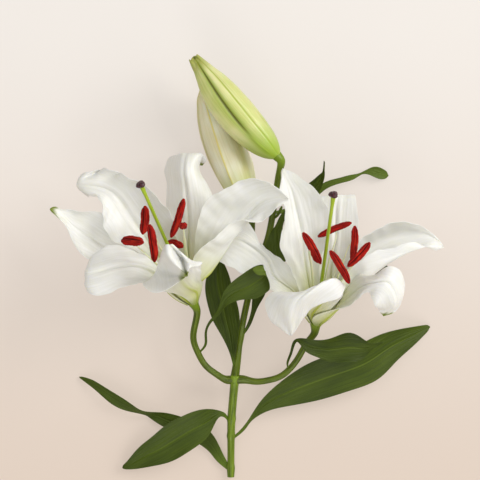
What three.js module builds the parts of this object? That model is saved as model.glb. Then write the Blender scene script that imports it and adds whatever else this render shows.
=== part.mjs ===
// A cut stem of white oriental lily, lying on a surface: two open flowers, two closed buds, twelve leaves.
// Millimetres, +Z up. The stem runs along +Y from its cut end to the bud tips, and +X is to the right.
// The origin is under the middle of the whole stem, on the surface that it lies on.
//
// Every petal and leaf is a thin blade held by three rails: left margin, midrib and right margin, seen on
// its inner or upper face with the tip up. Each station is [left, rib, right], from the base to the tip.

import * as THREE from 'three';

// ---------------------------------------------------------------- driving sizes

const plantLength = 340; // from the cut to the bud tips
const plantHeight = 131; // from the surface to the highest petal
const gap = 0.3; // clearance between pieces that touch

const stemRadius = 2.8; // main stem at the cut
const forkRadius = 3.6; // main stem where the stalks branch off
const stalkRadius = 2.7; // flower and bud stalks

const petalThickness = 0.9;
const leafThickness = 0.9;
const filamentRadius = 0.45;

const antherRadius = 2.6;
const antherLength = 27;
const styleRadius = 1.4;
const ovaryRadius = 2.1;
const stigmaRadius = 3.8;
const stigmaLength = 4.4;

const whiteBudRadius = 17;
const whiteBudLength = 98;
const greenBudRadius = 16;
const greenBudLength = 104;
const greenBudBend = 3; // how far its middle bows to the left

// The rings on which the parts of a flower stand, from the ovary outwards, each clear of the last.
const ovaryFoot = 0.9;
const filamentRing = ovaryFoot + 2 * gap + filamentRadius;
const innerRing = filamentRing + filamentRadius + gap + petalThickness / 2;
const outerRing = innerRing + petalThickness + 1.4 * gap;
const receptacleRadius = outerRing + gap; // top of a flower stalk, which carries the petals
const footHeight = 2 * gap; // where petals and filaments start above the receptacle

// ---------------------------------------------------------------- points

// The points in this file are chosen by hand for a plant of this length and height.
const chosenLength = 340;
const chosenHeight = 131;

function at([x, y, z]) {
  const plan = plantLength / chosenLength;
  return new THREE.Vector3(x * plan, y * plan, z * (plantHeight / chosenHeight));
}

function smooth(points) {
  return new THREE.CatmullRomCurve3(points, false, 'centripetal');
}

function radians(degrees) {
  return THREE.MathUtils.degToRad(degrees);
}

// ---------------------------------------------------------------- closed skins

// Closes a run of rings, each with the same even number of points, into one solid with a face at each end.
function skin(rings) {
  const count = rings[0].length;
  const positions = rings.flat().flatMap((point) => [point.x, point.y, point.z]);
  const faces = [];
  for (let ring = 0; ring < rings.length - 1; ring += 1) {
    for (let side = 0; side < count; side += 1) {
      const a = ring * count + side;
      const b = ring * count + ((side + 1) % count);
      faces.push(a, b, b + count, a, b + count, a + count);
    }
  }
  const last = (rings.length - 1) * count;
  for (let side = 0; side < count / 2 - 1; side += 1) {
    const far = count - 1 - side;
    faces.push(side, far, far - 1, side, far - 1, side + 1);
    faces.push(last + side, last + far - 1, last + far, last + side, last + side + 1, last + far - 1);
  }
  const geometry = new THREE.BufferGeometry();
  geometry.setAttribute('position', new THREE.Float32BufferAttribute(positions, 3));
  geometry.setIndex(faces);
  geometry.computeVertexNormals();
  return geometry;
}

// A stalk, filament or other round limb: a curve through the points, with its own radius and section.
function limb(points, radiusAt, { steps = 10, sides = 8, section = () => 1 } = {}) {
  const curve = smooth(points);
  const frames = curve.computeFrenetFrames(steps, false);
  const rings = [];
  for (let step = 0; step <= steps; step += 1) {
    const along = step / steps;
    const centre = curve.getPointAt(along);
    const radius = radiusAt(along);
    const ring = [];
    for (let side = 0; side < sides; side += 1) {
      const angle = (side / sides) * 2 * Math.PI;
      const reach = radius * section(angle);
      ring.push(
        centre
          .clone()
          .addScaledVector(frames.normals[step], reach * Math.cos(angle))
          .addScaledVector(frames.binormals[step], reach * Math.sin(angle)),
      );
    }
    rings.push(ring);
  }
  return skin(rings);
}

// A radius that runs in straight lines through knots of [distance along a limb from 0 to 1, radius].
function profile(...knots) {
  const tolerance = 1e-9;
  return (along) => {
    const next = Math.max(1, knots.findIndex(([place]) => place >= along - tolerance));
    const [x0, y0] = knots[next - 1];
    const [x1, y1] = knots[next];
    return y0 + ((y1 - y0) * (along - x0)) / (x1 - x0);
  };
}

// ---------------------------------------------------------------- blades

// A thin closed blade through its stations. It is thickest at the midrib and thins to the margins.
const marginThinning = 0.45; // share of the thickness that is lost at the margins

function blade(stations, thickness, { rows = 12, columns = 6 } = {}) {
  const rails = [0, 1, 2].map((rail) => smooth(stations.map((station) => station[rail])));
  const point = (s, t) => {
    const [left, rib, right] = rails.map((rail) => rail.getPoint(s));
    const across = right.clone().sub(left).multiplyScalar(t / 2);
    const bow = left.clone().add(right).multiplyScalar(0.5).sub(rib).multiplyScalar(t * t);
    return rib.add(across).add(bow);
  };
  const normal = (s, t) => {
    const step = 0.01;
    const across = point(s, Math.min(t + step, 1)).sub(point(s, Math.max(t - step, -1)));
    const along = point(Math.min(s + step, 1), t).sub(point(Math.max(s - step, 0), t));
    return across.cross(along).normalize();
  };
  const rings = [];
  for (let row = 0; row <= rows; row += 1) {
    const s = row / rows;
    const face = [];
    const back = [];
    for (let column = 0; column <= columns; column += 1) {
      const t = (2 * column) / columns - 1;
      const half = (thickness / 2) * (1 - marginThinning * t * t);
      const centre = point(s, t);
      const out = normal(s, t);
      face.push(centre.clone().addScaledVector(out, half));
      back.unshift(centre.clone().addScaledVector(out, -half));
    }
    rings.push([...face, ...back]);
  }
  return skin(rings);
}

// A leaf's stations have margins only: the midrib lies between them, lower by the depth of its channel.
function leafStations(margins, channel) {
  return margins.map(([left, right]) => {
    const width = left.distanceTo(right);
    const rib = left.clone().add(right).multiplyScalar(0.5);
    rib.z -= width * channel;
    return [left, rib, right];
  });
}

// ---------------------------------------------------------------- stems

const cutEnd = at([-7.4, -190.4, 0]).setZ(stemRadius);
const forkPoint = at([-4, -109.5, 23]);

const stemCurve = smooth([
  cutEnd,
  at([-7.2, -168, 7]),
  at([-6.8, -144, 12.5]),
  at([-5.6, -128, 17]),
  forkPoint,
]);

const leftReceptacle = at([-37.6, -49.6, 43]);
const leftStigmaPoint = at([-78.4, 42.7, 100]);
const rightReceptacle = at([60.8, -66.4, 43]);
const rightStigmaPoint = at([74.4, 34.4, 99]);

// The directions of a flower: its axis, level across it, and up towards the viewer of the lying stem.
function flowerFrame(base, tip) {
  const axis = tip.clone().sub(base).normalize();
  const side = new THREE.Vector3(axis.y, -axis.x, 0).normalize();
  const front = new THREE.Vector3().crossVectors(side, axis);
  return { base, axis, side, front };
}

const leftFrame = flowerFrame(leftReceptacle, leftStigmaPoint);
const rightFrame = flowerFrame(rightReceptacle, rightStigmaPoint);

// The last points of a stalk lie on the line of what it carries, so its end face meets that squarely.
function arriveAlong(end, axis, run) {
  return [run, run / 3, 0].map((back) => end.clone().addScaledVector(axis, -back));
}

// The first points of a side stalk run straight out from the side of the fork, a little below its top.
function leaveFork(direction) {
  const reach = forkRadius + 2 * gap;
  return [reach, reach + stalkRadius].map((out) =>
    forkPoint.clone().add(new THREE.Vector3(direction * out, -2.4, -1)),
  );
}

const leftStalkPoints = [
  ...leaveFork(-1),
  at([-18.4, -108, 26]),
  at([-27.6, -100.6, 30]),
  at([-34, -89.6, 33]),
  at([-37.4, -76.8, 36]),
  ...arriveAlong(leftReceptacle, leftFrame.axis, 9),
];

const rightStalkPoints = [
  ...leaveFork(1),
  at([12, -113.6, 23]),
  at([22.4, -112.6, 25.5]),
  at([32, -109.6, 28]),
  at([40, -103.2, 31]),
  at([47.2, -93.6, 34]),
  at([54, -82, 36.5]),
  ...arriveAlong(rightReceptacle, rightFrame.axis, 9),
];

// Radius of a bud along its length, as a share of its greatest: it swells from the foot, stays full to past
// the middle and closes to a blunt tip.
const budSwell = profile(
  [0, 0.24], [0.03, 0.44], [0.08, 0.6], [0.17, 0.79], [0.31, 0.94], [0.46, 1],
  [0.62, 0.95], [0.77, 0.79], [0.88, 0.57], [0.95, 0.36], [1, 0.14],
);

// The white bud lies on the surface, and the green one crosses its upper end.
const whiteBudFoot = at([5.6, 29.6, 0]).setZ(whiteBudRadius);
const whiteBudAxis = new THREE.Vector3(-0.371, 0.929, 0).normalize();
const whiteBudSide = new THREE.Vector3(whiteBudAxis.y, -whiteBudAxis.x, 0);
const greenBudAxis = new THREE.Vector3(-0.646, 0.761, 0.03).normalize();
const greenBudFoot = whiteBudFoot
  .clone()
  .addScaledVector(whiteBudAxis, 0.254 * greenBudLength)
  .addScaledVector(whiteBudSide, 1.103 * (whiteBudRadius + greenBudRadius));

// The green bud rests on the white one: the least height of its foot at which no two of their sections meet.
function restingHeight() {
  const level = greenBudAxis.clone().setZ(0).normalize();
  const heights = [0.5, 0.6, 0.7, 0.8, 0.9, 1].map((share) => {
    const under = whiteBudFoot.clone().addScaledVector(whiteBudAxis, share * whiteBudLength);
    const offset = under.clone().sub(greenBudFoot).setZ(0);
    const along = offset.dot(level);
    const over = THREE.MathUtils.clamp(along / greenBudLength, 0, 1);
    const aside = offset.addScaledVector(level, -along).length() - greenBudBend * Math.sin(Math.PI * over);
    const reach = whiteBudRadius * budSwell(share) + greenBudRadius * budSwell(over) + gap;
    return under.z + Math.sqrt(Math.max(0, reach ** 2 - aside ** 2)) - along * greenBudAxis.z;
  });
  return Math.max(...heights);
}
greenBudFoot.setZ(restingHeight());
const greenBend = greenBudFoot.clone().add(new THREE.Vector3(2.2, -11.6, -6)); // its stalk turns up here

const stemEnd = stemCurve.getTangent(1);
const greenStalkPoints = [
  ...[gap, 4].map((ahead) => forkPoint.clone().addScaledVector(stemEnd, ahead)),
  at([-1.6, -92, 25]),
  at([0.4, -76.8, 24]),
  at([6.4, -47.2, 22]),
  at([13, -24, 20]),
  at([19.4, -8, 19]),
  at([23.6, 6, 19]),
  at([26.4, 22, 20]),
  at([29.4, 42, 25]),
  greenBend,
  ...arriveAlong(greenBudFoot.clone().addScaledVector(greenBudAxis, -gap), greenBudAxis, 4.5),
];
const greenStalkCurve = smooth(greenStalkPoints);
const greenStalkTop = greenBend.z + stalkRadius; // skin of the stalk under the tip of right_petal_1

// The point on a curve with the given y, found by halving.
function curveAtY(curve, y) {
  let low = 0;
  let high = 1;
  for (let turn = 0; turn < 40; turn += 1) {
    const middle = (low + high) / 2;
    if (curve.getPoint(middle).y < y) {
      low = middle;
    } else {
      high = middle;
    }
  }
  return curve.getPoint(low);
}

// A point just off the skin of a stem, in the given direction from its middle line at y along the plant.
// It leaves room for a blade of a leaf's thickness.
function beside(curve, y, radius, direction) {
  const middle = curveAtY(curve, at([0, y, 0]).y);
  return middle.addScaledVector(direction.clone().normalize(), radius + gap + leafThickness / 2);
}

const toLeft = new THREE.Vector3(-1, 0, 0);
const toRight = new THREE.Vector3(1, 0, 0);

const thinStalkRadius = 0.8 * stalkRadius; // start of the white bud's stalk, beside the green bud's

const whiteStalkPoints = [
  beside(greenStalkCurve, -32, stalkRadius + thinStalkRadius, new THREE.Vector3(-0.95, 0.1, -0.3)),
  at([8.6, -12, 17]),
  at([9.6, 8, 16.5]),
  ...arriveAlong(whiteBudFoot.clone().addScaledVector(whiteBudAxis, -gap), whiteBudAxis, 9),
];

// ---------------------------------------------------------------- flowers

// The point at an angle round the flower's axis, at a radius from it and a height above the receptacle.
function around(frame, degrees, radius, height) {
  return frame.base
    .clone()
    .addScaledVector(frame.side, radius * Math.cos(radians(degrees)))
    .addScaledVector(frame.front, radius * Math.sin(radians(degrees)))
    .addScaledVector(frame.axis, height);
}

// The two lowest stations of a petal stand in the ring of petals and follow its sizes.
function petalStations(frame, throat, { angle, outer, stations }) {
  const foot = outer ? outerRing : innerRing;
  const mouth = outer ? throat.outer : throat.inner;
  const ringStation = (radius, half, height) =>
    [-half, 0, half].map((turn) => around(frame, angle + turn, radius, height));
  return [
    ringStation(foot, 48, footHeight),
    ringStation(mouth, 46, throat.height),
    ...stations.map((station) => station.map((point) => (point.isVector3 ? point : at(point)))),
  ];
}

// The filament leaves the receptacle beside the ovary and ends square to the middle of its anther.
function filamentPoints(frame, angle, { middle, along }) {
  const foot = around(frame, angle, filamentRing, footHeight);
  const bend = around(frame, angle, ovaryRadius + 3.1, 13);
  const rise = bend.clone().lerp(middle, 0.5).addScaledVector(frame.axis, 3);
  const arrive = middle.clone().sub(rise).projectOnPlane(along).normalize();
  const end = middle.clone().addScaledVector(arrive, -(antherRadius + filamentRadius + gap));
  const turn = end.clone().addScaledVector(arrive, -3);
  return [foot, bend, rise.lerp(turn, 0.3), end];
}

// An anther lies along the line between its two chosen ends, with its middle bowed a little.
function antherPoints([start, end]) {
  const first = at(start);
  const last = at(end);
  const middle = first.clone().lerp(last, 0.5);
  const along = last.sub(first).normalize();
  const half = antherLength / 2;
  const bow = new THREE.Vector3(along.y, -along.x, 0).multiplyScalar(0.03 * antherLength);
  return {
    middle,
    along,
    points: [
      middle.clone().addScaledVector(along, -half).add(bow),
      middle.clone(),
      middle.clone().addScaledVector(along, half).add(bow),
    ],
  };
}

// The pistil sags a little between the receptacle and the stigma.
function pistilPoints(frame, tip) {
  const start = frame.base.clone().addScaledVector(frame.axis, gap);
  const end = tip.clone().addScaledVector(frame.axis, -gap);
  const sag = new THREE.Vector3(0, 0, -2);
  const [lower, upper] = [1 / 3, 2 / 3].map((along) => start.clone().lerp(end, along).add(sag));
  return [start, lower, upper, end];
}

// Radii of the circles that the inner and outer petals stand on at a height above the receptacle.
const throats = {
  left: { inner: 11, outer: 13.6, height: 14 },
  right: { inner: 12, outer: 15, height: 14 },
};

const leftPetals = [
  {
    name: 'left_petal_1',
    angle: 186,
    outer: true,
    stations: [
      [[-73.6, -29, 51], [-75, -21, 43], [-71, -12, 44]],
      [[-97.6, -22.4, 54], [-100, -10.4, 46], [-95, 3, 46]],
      [[-117.6, -16, 54], [-120, 1.6, 47], [-111, 22, 48]],
      [[-134.4, -0.8, 55], [-134.4, 11.2, 50], [-129.6, 22.8, 52]],
      [[-143.4, 15.2, 56], [-144, 20.8, 54], [-142, 25.2, 55]],
      [[-151.6, 22.6, 57], [-152, 24.8, 57], [-150.6, 27.6, 57]],
    ],
  },
  {
    name: 'left_petal_2',
    angle: 240,
    outer: false,
    stations: [
      [[-72, -18, 53], [-66, -11, 44], [-50, -4, 45]],
      [[-92, -5, 58], [-82, 9.6, 49], [-55, 18, 47]],
      [[-107, 8.8, 58], [-91, 26, 51], [-68, 35, 48]],
      [[-110.4, 22.4, 56], [-102, 39, 51], [-86, 49.6, 49]],
      [[-112.8, 32.8, 49], [-117, 45, 48], [-105.6, 55.6, 47]],
      [[-121.6, 35.6, 40], [-130, 44, 40], [-124, 55, 40]],
      [[-119, 34.8, 31], [-127, 40, 31], [-129, 48, 33]],
    ],
  },
  {
    name: 'left_petal_3',
    angle: 300,
    outer: true,
    stations: [
      [[-49.6, -17.6, 38], [-41, -14.4, 33], [-34, -12, 38]],
      [[-56, 6.4, 37], [-41, 9.6, 31], [-26, 11.2, 36]],
      [[-58.4, 27.2, 35], [-42.4, 29.6, 31], [-22.4, 29.6, 32]],
      [[-57.6, 43.2, 33], [-44, 45.6, 33], [-25.4, 44.8, 32]],
      [[-62, 55.2, 31], [-45, 57.6, 35], [-31.6, 56.8, 32]],
      [[-56.5, 66.4, 28], [-42.4, 69.4, 32], [-29.4, 68.6, 33]],
      [[-50, 64, 21], [-38.4, 65, 24], [-28, 64, 29.5]],
      [[-32, 60, 22], [-30, 60, 22], [-28.6, 61, 23]],
    ],
  },
  {
    name: 'left_petal_4',
    angle: 0,
    outer: false,
    stations: [
      [[-37, -17.6, 45], [-24.8, -26.4, 50], [-38, -18.6, 70]],
      [[-35.2, 6.4, 49], [-15.2, -12, 54], [-30, -6, 78]],
      [[-28, 28.8, 53], [-4, 4, 58], [-17, 6.2, 82]],
      [[-11.2, 42.6, 58], [6.4, 20, 62], [2.4, 14.8, 78]],
      [[8, 47.4, 64], [18.4, 31, 66], [17.6, 16, 73]],
      [[25.6, 44.8, 69], [29.6, 34.4, 69], [29.6, 25.6, 71]],
      [[37.6, 35.2, 71], [38.8, 32.8, 71], [37.2, 31.2, 70]],
    ],
  },
  {
    name: 'left_petal_5',
    angle: 124,
    outer: false,
    stations: [
      [[-65.6, -37.6, 70], [-66.4, -28, 64], [-64, -19.2, 60]],
      [[-80, -34.4, 83], [-83.2, -20.8, 74], [-80, -11.2, 66]],
      [[-94.4, -38.4, 92], [-100, -21.6, 81], [-96, -4, 68]],
      [[-108.8, -43.6, 94], [-113.6, -25.6, 85], [-108.8, -7.6, 70]],
      [[-122.4, -42, 90], [-123.4, -28, 82], [-120, -13.6, 70]],
      [[-122, -38.4, 81], [-121.6, -28, 73], [-118.4, -17.6, 64]],
      [[-117, -33, 73], [-116.8, -29, 67], [-116, -24, 63]],
    ],
  },
  {
    name: 'left_petal_6',
    angle: 66,
    outer: true,
    stations: [
      [[-31.2, -31.2, 74], [-40.8, -32, 80], [-57.6, -40.4, 71]],
      [[-29.6, -20.8, 94], [-43.2, -20.8, 102], [-69, -40.4, 86]],
      [[-35.2, -14.4, 111], [-48, -11.2, 119], [-75.2, -35, 97]],
      [[-42.4, -10.4, 121], [-53.6, -4.8, 127], [-65.6, -22.4, 111]],
      [[-47.2, -8.8, 127], [-56.8, -6.4, 130], [-61.8, -11.2, 122]],
      [[-44.8, -17.6, 129], [-51.2, -17.6, 130], [-55, -17.6, 127]],
      [[-42, -28, 123], [-42.4, -28.8, 123], [-44, -28.4, 123]],
    ],
  },
];

// A point of a petal that lies over the green bud's stalk, with its height above the stalk's skin.
function overStalk([x, y, above]) {
  return at([x, y, 0]).setZ(greenStalkTop + above);
}

const rightPetals = [
  {
    name: 'right_petal_1',
    angle: 240,
    outer: false,
    stations: [
      [[46.4, -36, 53], [54.4, -30.4, 45], [63, -26, 47]],
      [[36.8, -18.4, 56], [51.2, -10.4, 47], [68, -6.4, 51]],
      [[33.6, 2.4, 56], [48.8, 7.2, 47], [71.2, 14.4, 53]],
      [[35.6, 22.4, 53], [44.8, 25.6, 45], [68, 31.2, 51]],
      [[33.6, 37.6, 13.9], [40.8, 40.8, 7.9], [56, 43.6, 12.9]].map(overStalk),
      [[32.6, 50.4, 9.9], [36, 51.6, 6.9], [44, 53.2, 8.9]].map(overStalk),
      [[32.8, 56.8, 6.9], [34.4, 57.2, 5.9], [36.4, 57, 6.9]].map(overStalk),
    ],
  },
  {
    name: 'right_petal_2',
    angle: 300,
    outer: true,
    stations: [
      [[62.4, -27.2, 38], [73, -25.6, 35], [84.5, -28, 42]],
      [[62.4, -6.4, 36], [76, -4.8, 33], [91.6, -12, 42]],
      [[60, 14.4, 34], [76.8, 16, 31], [93.6, 6.4, 40]],
      [[60.8, 28.8, 32], [77.6, 29, 30], [94, 22.4, 36]],
      [[64.8, 35.6, 28], [79.2, 36, 28], [92.6, 35.4, 29]],
      [[70.4, 32, 19], [80.8, 31.2, 19], [90, 30.4, 21]],
      [[79.2, 24.8, 13], [80.8, 24, 13], [82.4, 24.8, 13]],
    ],
  },
  {
    name: 'right_petal_3',
    angle: 2,
    outer: false,
    stations: [
      [[79, -31, 46], [88, -36.8, 55], [83.2, -28, 62]],
      [[89, -12.4, 49], [102.4, -30.4, 60], [94, -18, 70]],
      [[98.4, 2, 51], [115.2, -19.2, 60], [108, -9, 70]],
      [[113.6, 11.2, 52], [128.8, -9.6, 58], [122.4, -7.2, 66]],
      [[130.4, 13.4, 52], [142.4, -4.8, 56], [137.6, -3.9, 61]],
      [[147.2, 10, 50], [155.2, -0.8, 53], [153.6, -7.2, 54]],
      [[162.4, -2.4, 46], [162.8, -5.6, 46], [160.8, -8, 46]],
    ],
  },
  {
    name: 'right_petal_4',
    angle: 52,
    outer: true,
    stations: [
      [[86, -44, 60], [86, -50.4, 69], [80.5, -53.4, 74]],
      [[97, -33.4, 76], [97.2, -40, 85], [93.6, -48.2, 86]],
      [[108.8, -26.8, 89], [105.6, -34.4, 97], [101.4, -41.8, 94]],
      [[121.6, -21.2, 94], [116.8, -33.6, 102], [105.4, -47.2, 97]],
      [[130.4, -30.4, 90], [123.2, -41.6, 98], [108.6, -52, 94]],
      [[132, -42.4, 84], [124.8, -50.4, 90], [110.8, -56, 88]],
      [[125, -56, 79], [120, -57.2, 82], [112, -57.8, 83]],
      [[115.6, -60, 79], [114.4, -60.4, 79], [112.8, -59.4, 80]],
    ],
  },
  {
    name: 'right_petal_5',
    angle: 108,
    outer: false,
    stations: [
      [[76, -51.5, 76], [65.6, -50, 80], [52.8, -50, 72]],
      [[82, -42.4, 96], [67.2, -39, 102], [50.4, -44.8, 89]],
      [[80, -33.6, 110], [65.6, -33.6, 116], [41, -43, 95]],
      [[70.4, -36, 117], [52.8, -41.6, 120], [29, -40.6, 97]],
      [[61.6, -44.8, 115], [46.4, -48, 118], [20.8, -46.4, 98]],
      [[54.4, -54.4, 107], [42.4, -59.2, 108], [23.2, -60.8, 95]],
      [[48.8, -65.6, 97], [40.8, -68.8, 97], [31.2, -71.2, 91]],
      [[42.8, -74.4, 89], [40.8, -76, 89], [37.6, -75.2, 88]],
    ],
  },
  {
    name: 'right_petal_6',
    angle: 184,
    outer: true,
    stations: [
      [[39.6, -48.4, 50], [42, -40.8, 44], [48, -37, 45]],
      [[22.4, -38.4, 51], [28, -29.6, 45], [39.6, -22.4, 48]],
      [[9.6, -32, 49], [21, -16, 43], [28.8, -11.6, 47]],
      [[-2.4, -24, 46], [8, -4.8, 42], [18.4, -5.2, 44]],
      [[-12.8, -20, 43], [-1.6, 0, 40], [12.4, 4.4, 41]],
      [[-18.4, -13.6, 40], [-11.2, 1.6, 37], [4.8, 14.4, 38]],
      [[-20.8, -2.4, 34], [-18.4, 3.2, 33], [-14.4, 8, 34]],
    ],
  },
];

// Each stamen: the angle at which its filament stands, and the two ends of its anther.
const leftStamens = [
  { angle: 210, anther: [[-75.2, 25.6, 76], [-76.8, 5.2, 84]] },
  { angle: 90, anther: [[-71.2, 11.6, 104], [-67.4, -16.8, 98]] },
  { angle: 150, anther: [[-94.4, -0.2, 96], [-75.6, -1.4, 108]] },
  { angle: 330, anther: [[-44.5, 32, 58], [-54.2, 2.4, 64]] },
  { angle: 30, anther: [[-45.2, 12.4, 110], [-45.4, 10.2, 84]] },
  { angle: 270, anther: [[-53, -3, 54], [-38, -6, 66]] },
];

const rightStamens = [
  { angle: 135, anther: [[51.2, 5.6, 104], [64.8, -18, 100]] },
  { angle: 75, anther: [[72.8, -8.8, 116], [87.5, -33.6, 110]] },
  { angle: 285, anther: [[62.8, 3.7, 62], [88.3, 14.4, 62]] },
  { angle: 345, anther: [[92.4, 10.4, 84], [90.4, -16.8, 80]] },
  { angle: 25, anther: [[103.7, -3.2, 98], [86.8, -21.2, 101]] },
  { angle: 215, anther: [[52.6, 3.2, 76], [62.6, -17.2, 74]] },
];

// ---------------------------------------------------------------- leaves

// Two margin points a short way apart, for the foot of a leaf that starts just off a stem.
function footPair(point, width) {
  return [width / 2, -width / 2].map((up) => point.clone().add(new THREE.Vector3(0, up, 0)));
}

const greenStalkFoot = (y, direction) => beside(greenStalkCurve, y, stalkRadius, direction);
const leftStalkCurve = smooth(leftStalkPoints);
const rightStalkCurve = smooth(rightStalkPoints);
const stemSide = (y, direction) => beside(stemCurve, y, forkRadius, direction);

// Margins are [left, right] pairs seen on the upper face with the tip up.
const leaves = [
  {
    name: 'leaf_low_left',
    channel: 0.05,
    foot: footPair(stemSide(-183, toLeft), 5).reverse(),
    margins: [
      [[-18.6, -177.6, 3], [-14.4, -170.6, 7]],
      [[-26, -169, 3], [-21, -157.6, 11]],
      [[-45, -157.6, 3], [-34, -147, 9]],
      [[-62.4, -149.6, 3], [-49.6, -141.6, 7]],
      [[-72, -143.4, 2.5], [-64, -138.4, 8]],
      [[-77.6, -140.6, 3], [-77, -137.4, 12]],
      [[-94.6, -136, 7], [-91, -129.4, 13]],
      [[-107.4, -128.5, 9], [-107.2, -118.8, 11]],
      [[-118.4, -118.8, 6], [-118.4, -112.8, 7]],
      [[-129.4, -110.6, 1.4], [-129, -109.4, 1.4]],
    ],
  },
  {
    name: 'leaf_front_left',
    channel: 0.1,
    foot: footPair(stemSide(-146, toLeft), 1.8).reverse(),
    margins: [
      [[-13, -142.2, 17.4], [-11.8, -139.4, 17.6]],
      [[-16.8, -142.4, 20], [-16, -137.2, 20]],
      [[-24, -155.2, 23], [-27.2, -135.6, 26]],
      [[-32.8, -164, 24], [-39.2, -138.2, 28]],
      [[-44.8, -172.4, 21], [-54.4, -145.6, 26]],
      [[-59.2, -179.2, 17], [-69.6, -156.8, 21]],
      [[-75.2, -182.6, 12], [-81.6, -167.2, 15]],
      [[-86.4, -184.2, 8], [-90.4, -177.2, 10]],
      [[-94, -184.4, 6], [-94.8, -181.6, 6]],
    ],
  },
  {
    name: 'leaf_big_right',
    channel: 0.1,
    foot: footPair(stemSide(-159, toRight), 2.4),
    margins: [
      [[2.4, -150.4, 12], [4, -152.2, 11]],
      [[8.5, -142, 15], [8.8, -145.8, 13]],
      [[17.2, -128.8, 18], [20.8, -138, 14]],
      [[32.8, -113.6, 22], [40, -133.2, 15]],
      [[50.4, -101.6, 25], [64, -128.4, 16]],
      [[72, -92.8, 26], [88, -121.2, 17]],
      [[94.4, -84.4, 24], [110.4, -112, 16]],
      [[114.4, -75.4, 18], [125.6, -97.6, 12]],
      [[132.8, -70.6, 11], [138.4, -86, 8]],
      [[152.8, -68, 2], [152.8, -71.6, 1.6]],
    ],
  },
  {
    name: 'leaf_tall_left',
    channel: 0.1,
    foot: [toLeft, toRight].map((way) =>
      greenStalkFoot(-104, new THREE.Vector3(-0.5, 0, 1)).add(way),
    ),
    margins: [
      [[-8.4, -90.4, 29], [-3.6, -89.8, 30]],
      [[-14.4, -77.6, 28], [-1.2, -76.8, 31]],
      [[-21.6, -64.8, 26], [-0.6, -64, 30]],
      [[-25.6, -53.6, 24], [-2, -51.2, 29]],
      [[-27.8, -40, 24], [-6.4, -37.6, 28]],
      [[-26.4, -28, 26], [-9.6, -25.6, 29]],
      [[-21.6, -17.6, 29], [-14.4, -16, 31]],
      [[-18.4, -9.6, 32], [-16.8, -9.6, 32]],
    ],
  },
  {
    name: 'leaf_curly',
    channel: 0.12,
    foot: footPair(beside(leftStalkCurve, -90, stalkRadius, new THREE.Vector3(1, 0, 0.3)), 1.8),
    margins: [
      [[-28.4, -83.4, 38], [-26.8, -84.2, 38]],
      [[-28.2, -74.4, 44], [-26.6, -74.6, 44]],
      [[-24.6, -64.8, 49], [-23, -66, 49]],
      [[-18.4, -56.8, 53], [-16, -59.2, 53]],
      [[-14.4, -44.8, 57], [-9.6, -52, 57]],
      [[-7.6, -35.2, 61], [2.4, -47.6, 60]],
      [[0.8, -28, 65], [12.8, -46.8, 61]],
      [[8.8, -22.4, 67], [21.6, -41.6, 61]],
      [[15.2, -20.4, 67], [22.4, -36.8, 63]],
      [[18.6, -21.2, 65], [17.2, -28.4, 65]],
    ],
  },
  {
    name: 'leaf_right_bract',
    channel: 0.12,
    foot: footPair(beside(rightStalkCurve, -104, stalkRadius, new THREE.Vector3(-0.6, 0.5, 0.6)), 1.8),
    margins: [
      [[37.6, -96.8, 41], [38.9, -97.6, 41]],
      [[40.2, -89.2, 46], [41.9, -90.2, 46]],
      [[43.6, -80, 50], [46, -81.6, 50]],
      [[50.4, -78.8, 52], [51.2, -88, 50]],
      [[60, -80.4, 52], [60.8, -93.6, 47]],
      [[73.6, -78, 50], [73.6, -97.6, 44]],
      [[88, -74.6, 48], [88, -98, 43]],
      [[97.6, -78.4, 45], [98.4, -95.2, 41]],
      [[104.8, -82.4, 42], [104.8, -88.8, 40]],
      [[114.8, -81.4, 40], [114.4, -83, 40]],
    ],
  },
  {
    name: 'leaf_tall_right',
    channel: 0.1,
    foot: footPair(greenStalkFoot(-77, new THREE.Vector3(1, 0, 0.4)), 1.8),
    margins: [
      [[6.6, -65.6, 28], [8.9, -67.2, 27]],
      [[8.8, -56, 29], [13.6, -55.2, 28]],
      [[10.4, -46.4, 30], [19.2, -45.6, 28]],
      [[12.8, -36, 31], [22.4, -33.6, 29]],
      [[15.2, -24, 33], [22.4, -22.4, 31]],
      [[18.4, -12.8, 34], [20, -12.8, 34]],
    ],
  },
  {
    name: 'leaf_back_pointed',
    channel: 0.1,
    foot: footPair(greenStalkFoot(-26, new THREE.Vector3(1, 0, 0.6)), 1.8),
    margins: [
      [[18.6, -17.6, 26], [26, -19.2, 25]],
      [[20.8, -8, 26], [37.6, -16, 26]],
      [[22.8, 0, 26], [37, -4, 27]],
      [[25.2, 7.2, 26.5], [34, 5.6, 27]],
      [[28.8, 12.8, 27], [34.8, 12.8, 27]],
      [[32.8, 20, 27], [37.6, 20.4, 27]],
      [[35.8, 24, 27], [37.4, 23.2, 27]],
    ],
  },
  {
    name: 'leaf_back_narrow',
    channel: 0.05,
    foot: footPair(greenStalkFoot(17, toRight), 1.6),
    margins: [
      [[29.8, 21.4, 23], [31.4, 20, 23]],
      [[31.4, 24.2, 24], [33, 23.2, 24]],
      [[32.8, 27.2, 25], [34.2, 26.8, 25]],
    ],
  },
  {
    name: 'leaf_small_upright',
    channel: 0.08,
    foot: footPair(greenStalkFoot(30, toRight), 2.2),
    margins: [
      [[41.6, 35.4, 22], [44, 29.6, 21]],
      [[50.4, 41.4, 20], [55.2, 32, 19]],
      [[57.6, 47.4, 20], [64, 39.2, 19]],
      [[63.2, 52, 22], [66.8, 46.4, 21]],
      [[66.2, 55, 25], [67.7, 52.8, 25]],
      [[67, 63.6, 32], [68.2, 62.6, 32]],
    ],
  },
  {
    name: 'leaf_spoon',
    channel: 0.08,
    foot: footPair(greenStalkFoot(22, new THREE.Vector3(1, 0, -0.5)), 2),
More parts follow.
